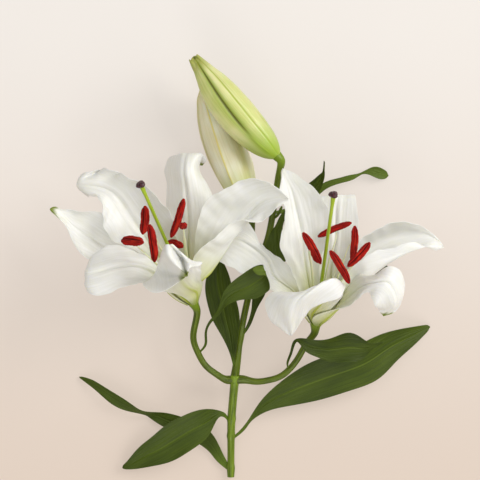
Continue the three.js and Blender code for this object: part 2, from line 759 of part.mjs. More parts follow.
    margins: [
      [[44, 28, 13], [45.6, 23.2, 13]],
      [[56, 36.8, 10], [59.2, 32, 10]],
      [[66.9, 45.6, 10], [68.8, 40.8, 10]],
      [[78.4, 49.6, 11], [80, 45.2, 11]],
      [[88.8, 52.2, 11], [91.2, 48.8, 11]],
      [[97.2, 54, 9], [97.6, 52.8, 9]],
      [[104.8, 58.2, 9], [104, 52.3, 8]],
      [[112, 58.6, 8], [111.2, 49.1, 6]],
      [[118.4, 54.4, 4], [117.6, 49.6, 3]],
      [[119.4, 52.8, 2.6], [119.2, 50.8, 2.4]],
    ],
  },
  {
    name: 'leaf_behind_flower',
    channel: 0.1,
    foot: footPair(greenStalkFoot(-4, toRight), 2),
    margins: [
      [[40, -4.8, 14], [40, -11.2, 13]],
      [[60, -9.6, 10], [59.2, -19.2, 10]],
      [[80, -13.6, 9], [79.2, -24.8, 9]],
      [[96, -17.6, 10], [96.8, -29.6, 10]],
      [[107.2, -19.2, 13], [111.2, -28, 13]],
      [[116.8, -19.4, 16], [119.6, -22, 16]],
    ],
  },
];

// ---------------------------------------------------------------- materials

function finish(color, roughness) {
  return () => new THREE.MeshStandardMaterial({ color, roughness, metalness: 0 });
}

const stemGreen = finish(0x6b8a32, 0.5);
const leafGreen = finish(0x4b6320, 0.45);
const petalWhite = finish(0xf4f3ec, 0.6);
const filamentGreen = finish(0xc9cf8a, 0.55);
const antherRed = finish(0xa8260f, 0.9);
const styleGreen = finish(0x9bbb30, 0.5);
const stigmaPurple = finish(0x43141f, 0.5);
const budGreen = finish(0xbccb74, 0.5);
const budWhite = finish(0xece6c4, 0.5);

// ---------------------------------------------------------------- assembly

const lily = new THREE.Group();

function add(name, geometry, material) {
  const mesh = new THREE.Mesh(geometry, material());
  mesh.name = name;
  lily.add(mesh);
}

const taper = profile([0, stemRadius], [1, forkRadius]);
add('main_stem', limb(stemCurve.points, taper, { steps: 8 }), stemGreen);
const flowerStalk = profile(
  [0, 0.9 * stalkRadius], [0.75, stalkRadius], [0.93, 1.15 * stalkRadius], [1, receptacleRadius],
);
add('left_flower_stalk', limb(leftStalkPoints, flowerStalk, { steps: 14 }), stemGreen);
add('right_flower_stalk', limb(rightStalkPoints, flowerStalk, { steps: 14 }), stemGreen);
const budStalk = profile([0, stalkRadius], [0.9, stalkRadius], [1, 1.3 * stalkRadius]);
add('green_bud_stalk', limb(greenStalkPoints, budStalk, { steps: 18 }), stemGreen);
const thinBudStalk = profile([0, thinStalkRadius], [0.9, stalkRadius], [1, 1.3 * stalkRadius]);
add('white_bud_stalk', limb(whiteStalkPoints, thinBudStalk, { steps: 8 }), stemGreen);

// A bud is slightly three-ribbed and bends a little to one side.
function bud(name, foot, axis, length, radius, bend, material) {
  const side = new THREE.Vector3(axis.y, -axis.x, 0).normalize();
  const points = [0, 0.25, 0.5, 0.75, 1].map((along) =>
    foot
      .clone()
      .addScaledVector(axis, along * length)
      .addScaledVector(side, -bend * Math.sin(Math.PI * along)),
  );
  const ribbed = (angle) => 0.975 + 0.025 * Math.cos(3 * angle);
  const solid = limb(points, (along) => radius * budSwell(along), { steps: 13, sides: 12, section: ribbed });
  add(name, solid, material);
}

bud('white_bud', whiteBudFoot, whiteBudAxis, whiteBudLength, whiteBudRadius, 0, budWhite);
bud('green_bud', greenBudFoot, greenBudAxis, greenBudLength, greenBudRadius, greenBudBend, budGreen);

const filamentWidth = () => filamentRadius;
const antherShape = profile([0, 0.3], [0.12, 0.8], [0.3, 1], [0.7, 1], [0.88, 0.8], [1, 0.3]);
const antherWidth = (along) => antherRadius * antherShape(along);
const pistilWidth = profile(
  [0, ovaryFoot], [0.06, 0.8 * ovaryRadius], [0.15, ovaryRadius], [0.25, 0.9 * ovaryRadius],
  [0.32, styleRadius], [0.92, styleRadius], [1, 1.25 * styleRadius],
);
const stigmaDome = profile([0, 0.5], [0.34, 1], [0.67, 0.95], [1, 0.45]);
const stigmaWidth = (along) => stigmaRadius * stigmaDome(along);
const stigmaLobes = (angle) => 1 + 0.14 * Math.cos(3 * angle);

function flower(side, frame, tip, throat, petals, stamens) {
  petals.forEach((petal) => {
    add(petal.name, blade(petalStations(frame, throat, petal), petalThickness), petalWhite);
  });
  stamens.forEach((stamen, index) => {
    const anther = antherPoints(stamen.anther);
    const route = filamentPoints(frame, stamen.angle, anther);
    const number = index + 1;
    add(`${side}_filament_${number}`, limb(route, filamentWidth, { steps: 7, sides: 6 }), filamentGreen);
    add(`${side}_anther_${number}`, limb(anther.points, antherWidth, { steps: 6, sides: 6 }), antherRed);
  });
  const route = pistilPoints(frame, tip);
  add(`${side}_pistil`, limb(route, pistilWidth, { steps: 12, sides: 6 }), styleGreen);
  const crown = [tip, tip.clone().addScaledVector(frame.axis, stigmaLength)];
  const stigma = limb(crown, stigmaWidth, { steps: 3, sides: 12, section: stigmaLobes });
  add(`${side}_stigma`, stigma, stigmaPurple);
}

flower('left', leftFrame, leftStigmaPoint, throats.left, leftPetals, leftStamens);
flower('right', rightFrame, rightStigmaPoint, throats.right, rightPetals, rightStamens);

leaves.forEach(({ name, channel, foot, margins }) => {
  const pairs = [foot, ...margins.map((pair) => pair.map(at))];
  const rows = margins.length > 4 ? 12 : 6;
  add(name, blade(leafStations(pairs, channel), leafThickness, { rows, columns: 4 }), leafGreen);
});

// Set the plant down with the origin under its middle, on the surface.
lily.updateMatrixWorld(true);
const box = new THREE.Box3().setFromObject(lily, true);
const middle = box.getCenter(new THREE.Vector3());
lily.position.set(-middle.x, -middle.y, -box.min.z);
lily.updateMatrixWorld(true);

export default lily;
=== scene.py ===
"""Looks of a cut stem of white lily that lies on a pale floor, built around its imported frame.

Lengths in the tables are millimetres on the plant's own axes: +Y from the cut to the bud tips, +Z up.
A petal or leaf follows rails from its base to its tip, seen on its inner or upper face with the tip up. A
petal's station is [left margin, midrib, right margin], with more rails where rails_at gives their places. A
leaf's is [left margin, right margin], and its midrib is sunk between them.
"""

import math

import bpy
import numpy as np
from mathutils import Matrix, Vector


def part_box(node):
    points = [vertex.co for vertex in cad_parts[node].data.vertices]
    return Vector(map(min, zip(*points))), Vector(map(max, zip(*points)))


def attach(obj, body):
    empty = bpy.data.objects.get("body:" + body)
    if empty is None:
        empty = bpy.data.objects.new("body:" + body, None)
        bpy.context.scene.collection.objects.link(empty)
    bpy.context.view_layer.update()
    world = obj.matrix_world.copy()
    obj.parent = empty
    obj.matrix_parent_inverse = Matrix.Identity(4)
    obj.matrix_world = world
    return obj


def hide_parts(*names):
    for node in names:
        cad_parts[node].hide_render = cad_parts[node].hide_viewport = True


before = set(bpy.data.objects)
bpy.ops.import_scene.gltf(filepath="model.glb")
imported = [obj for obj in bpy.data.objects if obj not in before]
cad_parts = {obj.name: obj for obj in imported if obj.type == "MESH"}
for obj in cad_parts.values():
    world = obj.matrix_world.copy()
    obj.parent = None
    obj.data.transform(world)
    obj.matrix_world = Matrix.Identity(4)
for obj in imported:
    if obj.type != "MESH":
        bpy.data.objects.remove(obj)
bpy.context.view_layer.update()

MM = 0.001
UP = np.array([0.0, 0.0, 1.0])
OUTER, INNER = "petal_outer", "petal_inner"

# ---- curves


def unit(vectors):
    """The vectors scaled to length 1."""
    vectors = np.asarray(vectors, float)
    return vectors / np.maximum(np.linalg.norm(vectors, axis=-1, keepdims=True), 1e-9)


def natural(runs, flat, places):
    """A natural cubic spline through the rows of flat, which stand at runs, at other places."""
    steps = np.diff(runs)
    system = np.eye(len(runs))
    turn = np.zeros_like(flat)
    for i in range(1, len(runs) - 1):
        system[i, i - 1 : i + 2] = steps[i - 1], 2 * (steps[i - 1] + steps[i]), steps[i]
        turn[i] = 6 * ((flat[i + 1] - flat[i]) / steps[i] - (flat[i] - flat[i - 1]) / steps[i - 1])
    bend = np.linalg.solve(system, turn)
    i = np.clip(np.searchsorted(runs, places, side="right") - 1, 0, len(steps) - 1)
    width = steps[i][:, None]
    after = (places - runs[i])[:, None]
    before = width - after
    curve = bend[i] * before**3 / (6 * width) + bend[i + 1] * after**3 / (6 * width)
    curve += (flat[i] / width - bend[i] * width / 6) * before
    return curve + (flat[i + 1] / width - bend[i + 1] * width / 6) * after


def spline(points, count):
    """count points on a smooth curve through points, for one rail (n, 3) or several together (n, k, 3)."""
    points = np.asarray(points, float)
    rails = points.reshape(len(points), -1, 3)
    steps = np.linalg.norm(np.diff(rails, axis=0), axis=2).mean(axis=1) ** 0.7
    runs = np.concatenate([[0], np.cumsum(steps)])
    curve = natural(runs, points.reshape(len(points), -1), np.linspace(0, runs[-1], count))
    return curve.reshape((count,) + points.shape[1:])


def shares(line):
    """How far along a line of points each one is, from 0 to 1."""
    run = np.concatenate([[0], np.cumsum(np.linalg.norm(np.diff(line, axis=0), axis=1))])
    return run / run[-1]


def knots(*pairs):
    """A function that runs smoothly through (place, value) pairs."""
    places, values = np.array(pairs, float).T
    rises = np.diff(values) / np.diff(places)
    both = rises[:-1] * rises[1:]
    total = np.where(both > 0, rises[:-1] + rises[1:], 1.0)
    slopes = np.concatenate([rises[:1], np.where(both > 0, 2 * both / total, 0.0), rises[-1:]])

    def value(at):
        at = np.clip(at, places[0], places[-1])
        i = np.clip(np.searchsorted(places, at, side="right") - 1, 0, len(places) - 2)
        width = places[i + 1] - places[i]
        x = (at - places[i]) / width
        start, end = values[i], values[i + 1]
        return (
            start * (1 + 2 * x) * (1 - x) ** 2
            + end * x**2 * (3 - 2 * x)
            + slopes[i] * width * x * (1 - x) ** 2
            - slopes[i + 1] * width * x**2 * (1 - x)
        )

    return value


def peak(x, centre, width):
    """1 at the centre, falling smoothly to 0 over about twice the width."""
    return np.exp(-(((x - centre) / width) ** 2))


def spoke(angle, width, count=1):
    """A peak at each of count angles that are spaced evenly from 0."""
    return peak(np.arccos(np.clip(np.cos(count * angle), -1, 1)) / count, 0, width)


def ease(x, low, high):
    """0 below low, 1 above high, smooth between."""
    x = np.clip((x - low) / (high - low), 0, 1)
    return x * x * (3 - 2 * x)


# ---- meshes

shift = Vector((0, 0, 0))  # from the plant's own axes to the frame's, found from the main stem below


def make(name, places, faces, values, material):
    """One piece of the plant: a smooth mesh that rides on the root in place of the node of its name, with
    values held at its vertices."""
    mesh = bpy.data.meshes.new(name)
    mesh.from_pydata((np.asarray(places) * MM + np.array(shift)).tolist(), [], faces)
    mesh.validate()
    for key, value in values.items():
        kind, field = ("FLOAT_VECTOR", "vector") if np.ndim(value) == 2 else ("FLOAT", "value")
        attribute = mesh.attributes.new(key, kind, "POINT")
        attribute.data.foreach_set(field, np.asarray(value, np.float32).ravel())
    mesh.shade_smooth()
    mesh.set_sharp_from_angle(angle=math.radians(55))
    mesh.materials.append(material)
    piece = bpy.data.objects.new(name, mesh)
    bpy.context.scene.collection.objects.link(piece)
    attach(piece, "root")
    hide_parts(name)
    return piece


def grid_faces(rows, columns, first=0, flip=False):
    """Quads over a grid of vertices that starts at index first."""
    corner = first + np.arange(rows * columns).reshape(rows, columns)
    quads = np.stack([corner[:-1, :-1], corner[:-1, 1:], corner[1:, 1:], corner[1:, :-1]], axis=-1)
    quads = quads.reshape(-1, 4)
    return (quads[:, ::-1] if flip else quads).tolist()


def blade(
    name, stations, material, slot, relief, outline=None, rails_at=None,
    rows=110, columns=49, thickness=0.8, round_tip=0.03, tone=0.0,
):
    """A petal or leaf. t runs across it from -1 to 1 and v along it from 0 to 1. relief(t, v) raises its inner
    face and outline(t, v) widens its margins, both in mm. rails_at gives t of more than three rails, and tone is
    kept for the material."""
    rails = spline(stations, rows)
    left, right = rails[:, 0], rails[:, -1]
    rib = rails[:, 1] if rails_at is None else rails[:, rails_at.index(0)]
    v = shares(rib)
    t = np.linspace(-1, 1, columns)[None, :] * np.ones((rows, 1))
    rounding = np.clip((v - (1 - round_tip)) / round_tip, 0, 1)
    taper = np.sqrt(np.maximum(1 - rounding**2, 0.02))[:, None]
    if rails_at is None:
        surface = rib[:, None] + (t * taper)[..., None] * ((right - left) / 2)[:, None]
        surface += (t * t * taper**2)[..., None] * ((left + right) / 2 - rib)[:, None]
    else:
        lanes = np.array(rails_at, float)
        surface = np.stack([natural(lanes, row, t[0] * narrowing[0]) for row, narrowing in zip(rails, taper)])
    along = v[:, None] * np.ones_like(t)
    if outline is not None:
        outward = unit(surface[:, -1] - surface[:, 0])[:, None] * np.sign(t)[..., None]
        surface += outward * (ease(abs(t), 0.3, 1) * outline(t, along) * taper)[..., None]

    def normals():
        return unit(np.cross(np.gradient(surface, axis=1), np.gradient(surface, axis=0)))

    surface += normals() * relief(t, along)[..., None]
    thinning = (1 - 0.55 * t * t) * (0.45 + 0.55 * taper)  # toward the margins and the tip
    half = normals() * (thickness / 2 * thinning)[..., None]
    face, back = surface + half, surface - half
    count = rows * columns
    corner = np.arange(count).reshape(rows, columns)
    faces = grid_faces(rows, columns) + grid_faces(rows, columns, count, flip=True)
    rim = np.concatenate([corner[0, ::-1], corner[1:, 0], corner[-1, 1:], corner[-2:0:-1, -1]])
    following = np.roll(rim, -1)
    faces += np.stack([rim, following, following + count, rim + count], axis=-1).tolist()
    width = np.linalg.norm(right - left, axis=1)[:, None]
    length = np.linalg.norm(np.diff(rib, axis=0), axis=1).sum()
    grain = np.stack([t * width / 2, along * length, np.zeros_like(t)], axis=-1).reshape(-1, 3)
    values = {
        "across": np.tile(t.ravel(), 2),
        "along": np.tile(along.ravel(), 2),
        "back": np.repeat([0.0, 1.0], count),
        "tone": np.full(2 * count, tone),
        "grain": np.concatenate([grain, grain + [0, 0, 9]]),
    }
    places = np.concatenate([face.reshape(-1, 3), back.reshape(-1, 3)])
    return make(name, places, faces, values, material)


def tube(points, radius, steps, sides, section=None, domes=(0.0, 0.0), up=UP):
    """Vertices, faces, values and angles of a round piece, shaped by radius(v) and section(v, angle). Angle 0
    faces up. Each end closes flat, or with a dome whose height is that share of the radius."""
    dense = spline(points, 12 * steps)
    along = shares(dense)
    v = np.linspace(0, 1, steps)
    centre = np.stack([np.interp(v, along, dense[:, i]) for i in range(3)], axis=-1)
    tangent = unit(np.gradient(centre, axis=0))
    normal = []
    last = np.asarray(up, float)
    for direction in tangent:
        last = unit(last - direction * last.dot(direction))
        normal.append(last)
    normal = np.array(normal)
    side = np.cross(tangent, normal)
    lids = np.array([0.3, 0.62, 0.85, 0.96])  # rings of a dome, as shares of its radius
    height = np.sqrt(1 - lids**2)
    r = radius(v) * np.ones(steps)
    order = [(0, k, -h * domes[0] * r[0], 1) for k, h in zip(lids, height)]
    order += [(i, 1.0, 0.0, 0) for i in range(steps)]
    order += [(steps - 1, k, h * domes[1] * r[-1], 1) for k, h in zip(lids[::-1], height[::-1])]
    angle = np.linspace(0, 2 * np.pi, sides, endpoint=False)
    rings = []
    for i, share, ahead, _ in order:
        reach = r[i] * share * (np.ones(sides) if section is None else section(v[i], angle))
        ring = centre[i] + tangent[i] * ahead
        ring = ring + np.outer(reach * np.cos(angle), normal[i]) + np.outer(reach * np.sin(angle), side[i])
        rings.append(ring)
    rows = len(rings)
    corner = np.arange(rows * sides).reshape(rows, sides)
    ahead = np.roll(corner, -1, axis=1)
    faces = np.stack([corner[:-1], corner[1:], ahead[1:], ahead[:-1]], axis=-1).reshape(-1, 4).tolist()
    faces += [corner[0].tolist(), corner[-1][::-1].tolist()]
    length = np.linalg.norm(np.diff(centre, axis=0), axis=1).sum()
    girth = float(np.mean(r))
    turn = np.tile(angle, rows)
    run = np.repeat([v[i] for i, *_ in order], sides)
    values = {
        "along": run,
        "end": np.repeat([float(end) for *_, end in order], sides),
        "grain": np.stack([girth * np.sin(turn), run * length, girth * np.cos(turn)], axis=-1),
    }
    return np.concatenate(rings), faces, values, turn


# ---- materials


def rgb(red, green, blue):
    """An sRGB colour, from 0 to 255, as the linear colour that shaders take."""

    def linear(level):
        return ((level / 255 + 0.055) / 1.055) ** 2.4 if level > 10 else level / 3295

    return linear(red), linear(green), linear(blue), 1.0


class Graph:
    """A short way to write the nodes of one material."""

    def __init__(self, name, roughness=0.5):
        self.material = bpy.data.materials.new(name)
        self.material.use_nodes = True
        self.nodes = self.material.node_tree.nodes
        self.links = self.material.node_tree.links
        self.shader = self.nodes["Principled BSDF"]
        self.shader.inputs["Roughness"].default_value = roughness
        self.colour = rgb(0, 0, 0)

    def put(self, socket, value):
        if isinstance(value, bpy.types.NodeSocket):
            self.links.new(value, socket)
        else:
            socket.default_value = value

    def node(self, kind, inputs, **settings):
        made = self.nodes.new("ShaderNode" + kind)
        for key, value in settings.items():
            setattr(made, key, value)
        for key, value in inputs.items():
            self.put(made.inputs[key], value)
        return made

    def value(self, name):
        return self.node("Attribute", {}, attribute_name=name).outputs["Fac"]

    def math(self, operation, a, b=0.0):
        return self.node("Math", {0: a, 1: b}, operation=operation).outputs[0]

    def times(self, a, b):
        return self.math("MULTIPLY", a, b)

    def span(self, value, low, high, start=0.0, end=1.0):
        """start below low, end above high, smooth between."""
        inputs = {"Value": value, "From Min": low, "From Max": high, "To Min": start, "To Max": end}
        return self.node("MapRange", inputs, interpolation_type="SMOOTHSTEP").outputs["Result"]

    def noise(self, stretch, detail=2.0, roughness=0.55):
        """Noise over the piece's own grain, stretched by (cycles per mm across, along, deep)."""
        grain = self.node("Attribute", {}, attribute_name="grain").outputs["Vector"]
        scaled = self.node("VectorMath", {0: grain, 1: stretch}, operation="MULTIPLY").outputs["Vector"]
        inputs = {"Vector": scaled, "Scale": 1.0, "Detail": detail, "Roughness": roughness}
        return self.node("TexNoise", inputs).outputs["Fac"]

    def mix(self, factor, a, b):
        made = self.node("Mix", {}, data_type="RGBA")
        self.put(made.inputs[0], factor)
        self.put(made.inputs[6], a)
        self.put(made.inputs[7], b)
        return made.outputs[2]

    def tint(self, factor, colour):
        """Lays a colour over the one so far."""
        self.colour = self.mix(factor, self.colour, colour)

    def finish(self, bumps=(), **settings):
        """Sets the colour, the bumps as (height, millimetres) pairs and other sockets of the shader."""
        self.put(self.shader.inputs["Base Color"], self.colour)
        socket = self.shader.inputs["Normal"]
        for height, distance in reversed(bumps):
            bump = self.node("Bump", {"Height": height, "Distance": distance * MM, "Strength": 1.0})
            self.put(socket, bump.outputs["Normal"])
            socket = bump.inputs["Normal"]
        for key, value in settings.items():
            self.put(self.shader.inputs[key.replace("_", " ")], value)
        return self.material


def petal_material(name, outer):
    """White petal: a green midrib, wide on its back, fine veins, and a green tip on the outer petals."""
    g = Graph(name, 0.42)
    across = g.math("ABSOLUTE", g.value("across"))
    along = g.value("along")
    back = g.value("back")
    blotch = g.noise((0.09, 0.05, 0.1))
    vein = g.noise((0.9, 0.035, 0.5), detail=4.0, roughness=0.6)
    fine = g.noise((3.2, 1.6, 2.0))
    g.colour = g.mix(g.span(vein, 0.3, 0.75), rgb(229, 229, 224), rgb(238, 238, 236))
    g.tint(g.times(g.span(blotch, 0.35, 0.75), 0.35), rgb(226, 226, 212))
    channel = g.times(g.span(across, 0.01, 0.1, 1.0, 0.0), g.span(along, 0.12, 0.6, 0.5, 0.04))
    keel_width, keel_strength = (0.16, 0.45) if outer else (0.1, 0.85)
    keel = g.times(g.span(across, 0.02, keel_width, 1.0, 0.0), g.span(along, 0.1, 0.9, keel_strength, 0.2))
    green = g.node("Mix", {0: back, 2: channel, 3: keel}, data_type="FLOAT").outputs[0]
    green = g.times(green, g.span(vein, 0.15, 0.7, 0.7, 1.0))
    g.tint(green, rgb(182, 192, 96))
    foot = g.times(g.span(along, 0.08, 0.5, 1.0, 0.0), g.span(across, 0.1, 1.0, 0.8, 0.45))
    g.tint(foot, rgb(196, 200, 104))
    nectary = g.times(g.span(across, 0.02, 0.12, 1.0, 0.0), g.span(along, 0.14, 0.34, 0.85, 0.0))
    g.tint(nectary, rgb(170, 182, 40))
    base = g.span(along, 0.0, 0.11, 0.85, 0.0)
    g.tint(base, rgb(128, 146, 32))
    if outer:
        tip = g.math("ADD", along, g.times(g.math("SUBTRACT", blotch, 0.5), 0.12))
        g.tint(g.span(tip, 0.95, 0.99), rgb(118, 132, 34))
    return g.finish(
        [(vein, 0.08), (fine, 0.03)],
        Subsurface_Weight=0.22,
        Subsurface_Radius=(0.004, 0.0036, 0.0022),
        Subsurface_Scale=0.6,
        Sheen_Weight=0.12,
        Sheen_Roughness=0.4,
    )


def leaf_material():
    """Waxy dark leaf with long parallel veins and a pale midrib, lighter and duller underneath."""
    g = Graph("leaf_skin", 0.36)
    across = g.math("ABSOLUTE", g.value("across"))
    along = g.value("along")
    back = g.value("back")
    cloud = g.noise((0.07, 0.02, 0.1))
    vein = g.noise((1.1, 0.012, 0.5), roughness=0.5)
    cell = g.noise((2.4, 0.5, 1.0))
    g.colour = g.mix(g.span(cloud, 0.3, 0.72), rgb(40, 53, 0), rgb(62, 76, 2))
    g.tint(g.times(g.span(vein, 0.42, 0.68), 0.25), rgb(82, 102, 10))
    g.tint(g.span(across, 0.015, 0.07, 0.4, 0.0), rgb(106, 126, 34))
    g.tint(g.span(along, 0.0, 0.18, 0.6, 0.0), rgb(104, 128, 30))
    g.tint(g.times(g.value("tone"), 0.6), rgb(112, 134, 50))
    g.tint(g.times(back, 0.55), rgb(106, 126, 44))
    rough = g.math("ADD", g.times(back, 0.15), g.span(cell, 0.3, 0.7, 0.4, 0.55))
    return g.finish([(vein, 0.25), (cell, 0.05)], Roughness=rough, Specular_IOR_Level=0.22)


def stem_material(name, dark, light, cut_colour):
    """Fresh green stalk with long streaks, pale flecks and, at its foot, a cut face."""
    g = Graph(name, 0.38)
    streak = g.noise((0.9, 0.05, 0.9), detail=4.0, roughness=0.6)
    cloud = g.noise((0.1, 0.04, 0.1))
    fleck = g.noise((1.6, 0.7, 1.6))
    g.colour = g.mix(g.span(streak, 0.3, 0.7), dark, light)
    g.tint(g.times(g.span(cloud, 0.4, 0.7), 0.4), rgb(108, 128, 22))
    g.tint(g.span(fleck, 0.66, 0.74, 0.0, 0.4), rgb(150, 166, 78))
    g.tint(g.span(g.value("along"), 0.86, 1.0, 0.0, 0.6), rgb(128, 156, 30))
    cut = g.times(g.value("end"), g.span(g.value("along"), 0.1, 0.2, 1.0, 0.0))
    g.tint(cut, cut_colour)
    return g.finish([(streak, 0.2), (fleck, 0.08)], Specular_IOR_Level=0.35)


def bud_material(name, pale, shade, halo_colour, rib_colour, seam_colour, foot_colour, tip_colour):
    """Closed bud: pale skin that greens toward its sunken seams, its raised ribs, its foot and its tip. The halo
    round the seams is partly the bud's own green and partly painted shade.
    """
    g = Graph(name, 0.4)
    vein = g.noise((0.9, 0.02, 0.9), detail=3.0, roughness=0.5)
    cloud = g.noise((0.07, 0.03, 0.07))
    fine = g.noise((2.6, 1.2, 2.6))
    along = g.value("along")
    g.colour = g.mix(g.span(cloud, 0.3, 0.7), pale, shade)
    g.tint(g.times(g.span(vein, 0.42, 0.72), 0.35), halo_colour)
    # The seam halo is partly the bud's own green and partly painted shade: on the white bud its khaki band at
    # the left seam stands for the shade down that side.
    halo = g.times(g.span(g.value("halo"), 0.0, 1.0, 0.0, 0.9), g.span(vein, 0.1, 0.6, 0.7, 1.0))
    g.tint(halo, halo_colour)
    g.tint(g.span(g.value("rib"), 0.1, 0.9, 0.0, 0.9), rib_colour)
    seam = g.times(g.span(g.value("seam"), 0.1, 0.9, 0.0, 0.95), g.span(along, 0.15, 0.45))
    g.tint(seam, seam_colour)
    g.tint(g.span(along, 0.02, 0.4, 0.85, 0.0), foot_colour)
    g.tint(g.span(along, 0.86, 1.0, 0.0, 0.75), tip_colour)
    bumps = [(vein, 0.14), (fine, 0.04)]
    return g.finish(bumps, Subsurface_Weight=0.12, Subsurface_Scale=0.003, Coat_Weight=0.05)


def anther_material():
    """Powdery red-brown pollen, darker in the furrow."""
    g = Graph("pollen", 0.92)
    grain = g.noise((2.2, 1.6, 2.2), detail=4.0, roughness=0.7)
    cloud = g.noise((0.35, 0.12, 0.35))
    streak = g.noise((0.7, 0.1, 0.7))
    g.colour = g.mix(g.span(streak, 0.3, 0.7), rgb(104, 3, 2), rgb(186, 22, 9))
    g.tint(g.span(grain, 0.45, 0.75, 0.0, 0.5), rgb(196, 40, 20))
    g.tint(g.span(cloud, 0.5, 0.75, 0.0, 0.45), rgb(204, 52, 22))
    g.tint(g.span(g.value("seam"), 0.2, 1.0, 0.0, 0.9), rgb(48, 0, 0))
    return g.finish([(grain, 0.7)], Specular_IOR_Level=0.25)


def stalk_material(name, low, high, tint):
    """Smooth filament or pistil that runs from one colour at its foot to another at its top."""
    g = Graph(name, 0.36)
    streak = g.noise((1.6, 0.06, 1.6), detail=3.0)
    fine = g.noise((3.0, 1.5, 3.0))
    g.colour = g.mix(g.span(g.value("along"), 0.0, 1.0), low, high)
    g.tint(g.times(g.span(streak, 0.4, 0.7), 0.45), tint)
    return g.finish([(streak, 0.12), (fine, 0.04)], Subsurface_Weight=0.15, Subsurface_Scale=0.002)


def stigma_material():
    """Dark sticky lobes."""
    g = Graph("stigma_skin", 0.3)
    grain = g.noise((1.4, 1.4, 1.4), detail=3.0, roughness=0.6)
    g.colour = g.mix(g.span(grain, 0.3, 0.7), rgb(38, 8, 18), rgb(82, 24, 38))
    g.tint(g.span(g.value("seam"), 0.2, 1.0, 0.0, 0.7), rgb(26, 6, 12))
    return g.finish([(grain, 0.4)], Coat_Weight=0.15, Coat_Roughness=0.3)


petal_skins = {
    OUTER: petal_material("petal_skin_outer", True),
    INNER: petal_material("petal_skin_inner", False),
}
leaf_skin = leaf_material()
stem_skin = stem_material("stem_skin", rgb(70, 90, 4), rgb(118, 140, 34), rgb(186, 196, 128))
stalk_skin = stem_material("stalk_skin", rgb(56, 70, 0), rgb(98, 114, 14), rgb(86, 104, 12))
pollen = anther_material()
filament_skin = stalk_material("filament_skin", rgb(150, 172, 70), rgb(236, 238, 206), rgb(196, 208, 128))
pistil_skin = stalk_material("pistil_skin", rgb(128, 152, 18), rgb(156, 180, 30), rgb(180, 198, 58))
stigma_skin = stigma_material()
green_bud_skin = bud_material(
    "green_bud_skin",
    pale=rgb(226, 222, 168),
    shade=rgb(198, 204, 122),
    halo_colour=rgb(150, 166, 60),
    rib_colour=rgb(150, 166, 16),
    seam_colour=rgb(92, 96, 0),
    foot_colour=rgb(150, 180, 40),
    tip_colour=rgb(140, 146, 40),
)
white_bud_skin = bud_material(
    "white_bud_skin",
    pale=rgb(242, 240, 224),
    shade=rgb(228, 222, 186),
    # Painted shade: this khaki halo darkens the bud round its seams, one of which runs down its shaded left
    # side.
    halo_colour=rgb(204, 196, 138),
    rib_colour=rgb(226, 212, 122),
    seam_colour=rgb(204, 200, 146),
    foot_colour=rgb(186, 198, 110),
    tip_colour=rgb(220, 208, 140),
)

# ---- stems


def flower_axes(base, tip, throat):
    """A flower's foot, the tip of its style and its directions: along its axis, across it and up from it.
    throat gives how far out its inner and its outer petals stand, a short way above the foot."""
    base, tip = np.array(base, float), np.array(tip, float)
    axis = unit(tip - base)
    side = unit([axis[1], -axis[0], 0])
    front = np.cross(side, axis)
    return {"base": base, "tip": tip, "axis": axis, "side": side, "front": front, "throat": throat}


def arrive(end, axis, run):
    """The last points of a stalk, on the line of what it carries."""
    return [tuple(np.array(end) - np.array(axis) * back) for back in (run, run / 3, 0)]


FLOWERS = {
    "left": flower_axes((-37.6, -49.6, 43), (-78.4, 42.7, 100), throat=(11, 13.6)),
    "right": flower_axes((60.8, -66.4, 43), (74.4, 34.4, 99), throat=(12, 15)),
}
WHITE_BUD_FOOT, WHITE_BUD_AXIS = np.array([5.6, 29.6, 17.0]), unit([-0.371, 0.929, 0])
GREEN_BUD_FOOT, GREEN_BUD_AXIS = np.array([29.6, 67.6, 40.4]), unit([-0.646, 0.761, 0.03])

FORK = (-4, -109.5, 23)
STEM = [(-7.4, -190.4, 2.8), (-7.2, -168, 7), (-6.8, -144, 12.5), (-5.6, -128, 17), FORK]
LEFT_STALK = [
    (-4.5, -112, 22), (-11, -112, 22.3), (-18.4, -108, 26), (-27.6, -100.6, 30), (-34, -89.6, 33),
    (-37.4, -76.8, 36), *arrive(FLOWERS["left"]["base"], FLOWERS["left"]["axis"], 9),
]
RIGHT_STALK = [
    (-3.5, -112, 22), (3, -112, 22.3), (12, -113.6, 23), (22.4, -112.6, 25.5), (32, -109.6, 28),
    (40, -103.2, 31), (47.2, -93.6, 34), (54, -82, 36.5),
    *arrive(FLOWERS["right"]["base"], FLOWERS["right"]["axis"], 9),
]
GREEN_STALK = [
    (-4.9, -114, 21.4), (-3.6, -106, 23.4), (-1.6, -92, 25), (0.4, -76.8, 24), (6.4, -47.2, 22),
    (13, -24, 20), (19.4, -8, 19), (23.6, 6, 19), (26.4, 22, 20), (29.4, 42, 25), (31.8, 56, 34.4),
    *arrive(GREEN_BUD_FOOT, GREEN_BUD_AXIS, 4.5),
]
WHITE_STALK = [
    (8.4, -38, 20), (5.9, -31, 18.4), (8.6, -12, 17), (9.6, 8, 16.5),
    *arrive(WHITE_BUD_FOOT, WHITE_BUD_AXIS, 9),
]


def stalk(name, points, radius, steps=90, domes=(0.4, 0.4)):
    """A green stem piece with soft ridges along it and a section that is never quite round."""

    def section(v, angle):
        return 1 + 0.025 * np.cos(5 * angle + 4 * v) + 0.02 * np.sin(2 * angle + 9 * v)

    places, faces, values, _ = tube(points, radius, steps, 28, section, domes)
    skin = stem_skin if name == "main_stem" else stalk_skin
    return make(name, places, faces, values, skin)


# The plant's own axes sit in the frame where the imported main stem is.
bare_stem = tube(STEM, knots((0, 2.8), (1, 3.6)), 60, 32)[0]
low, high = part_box("main_stem")
shift = Vector((low + high) / 2 - Vector(((bare_stem.min(0) + bare_stem.max(0)) / 2 * MM).tolist()))
shift.z = low.z - MM * bare_stem[:, 2].min()

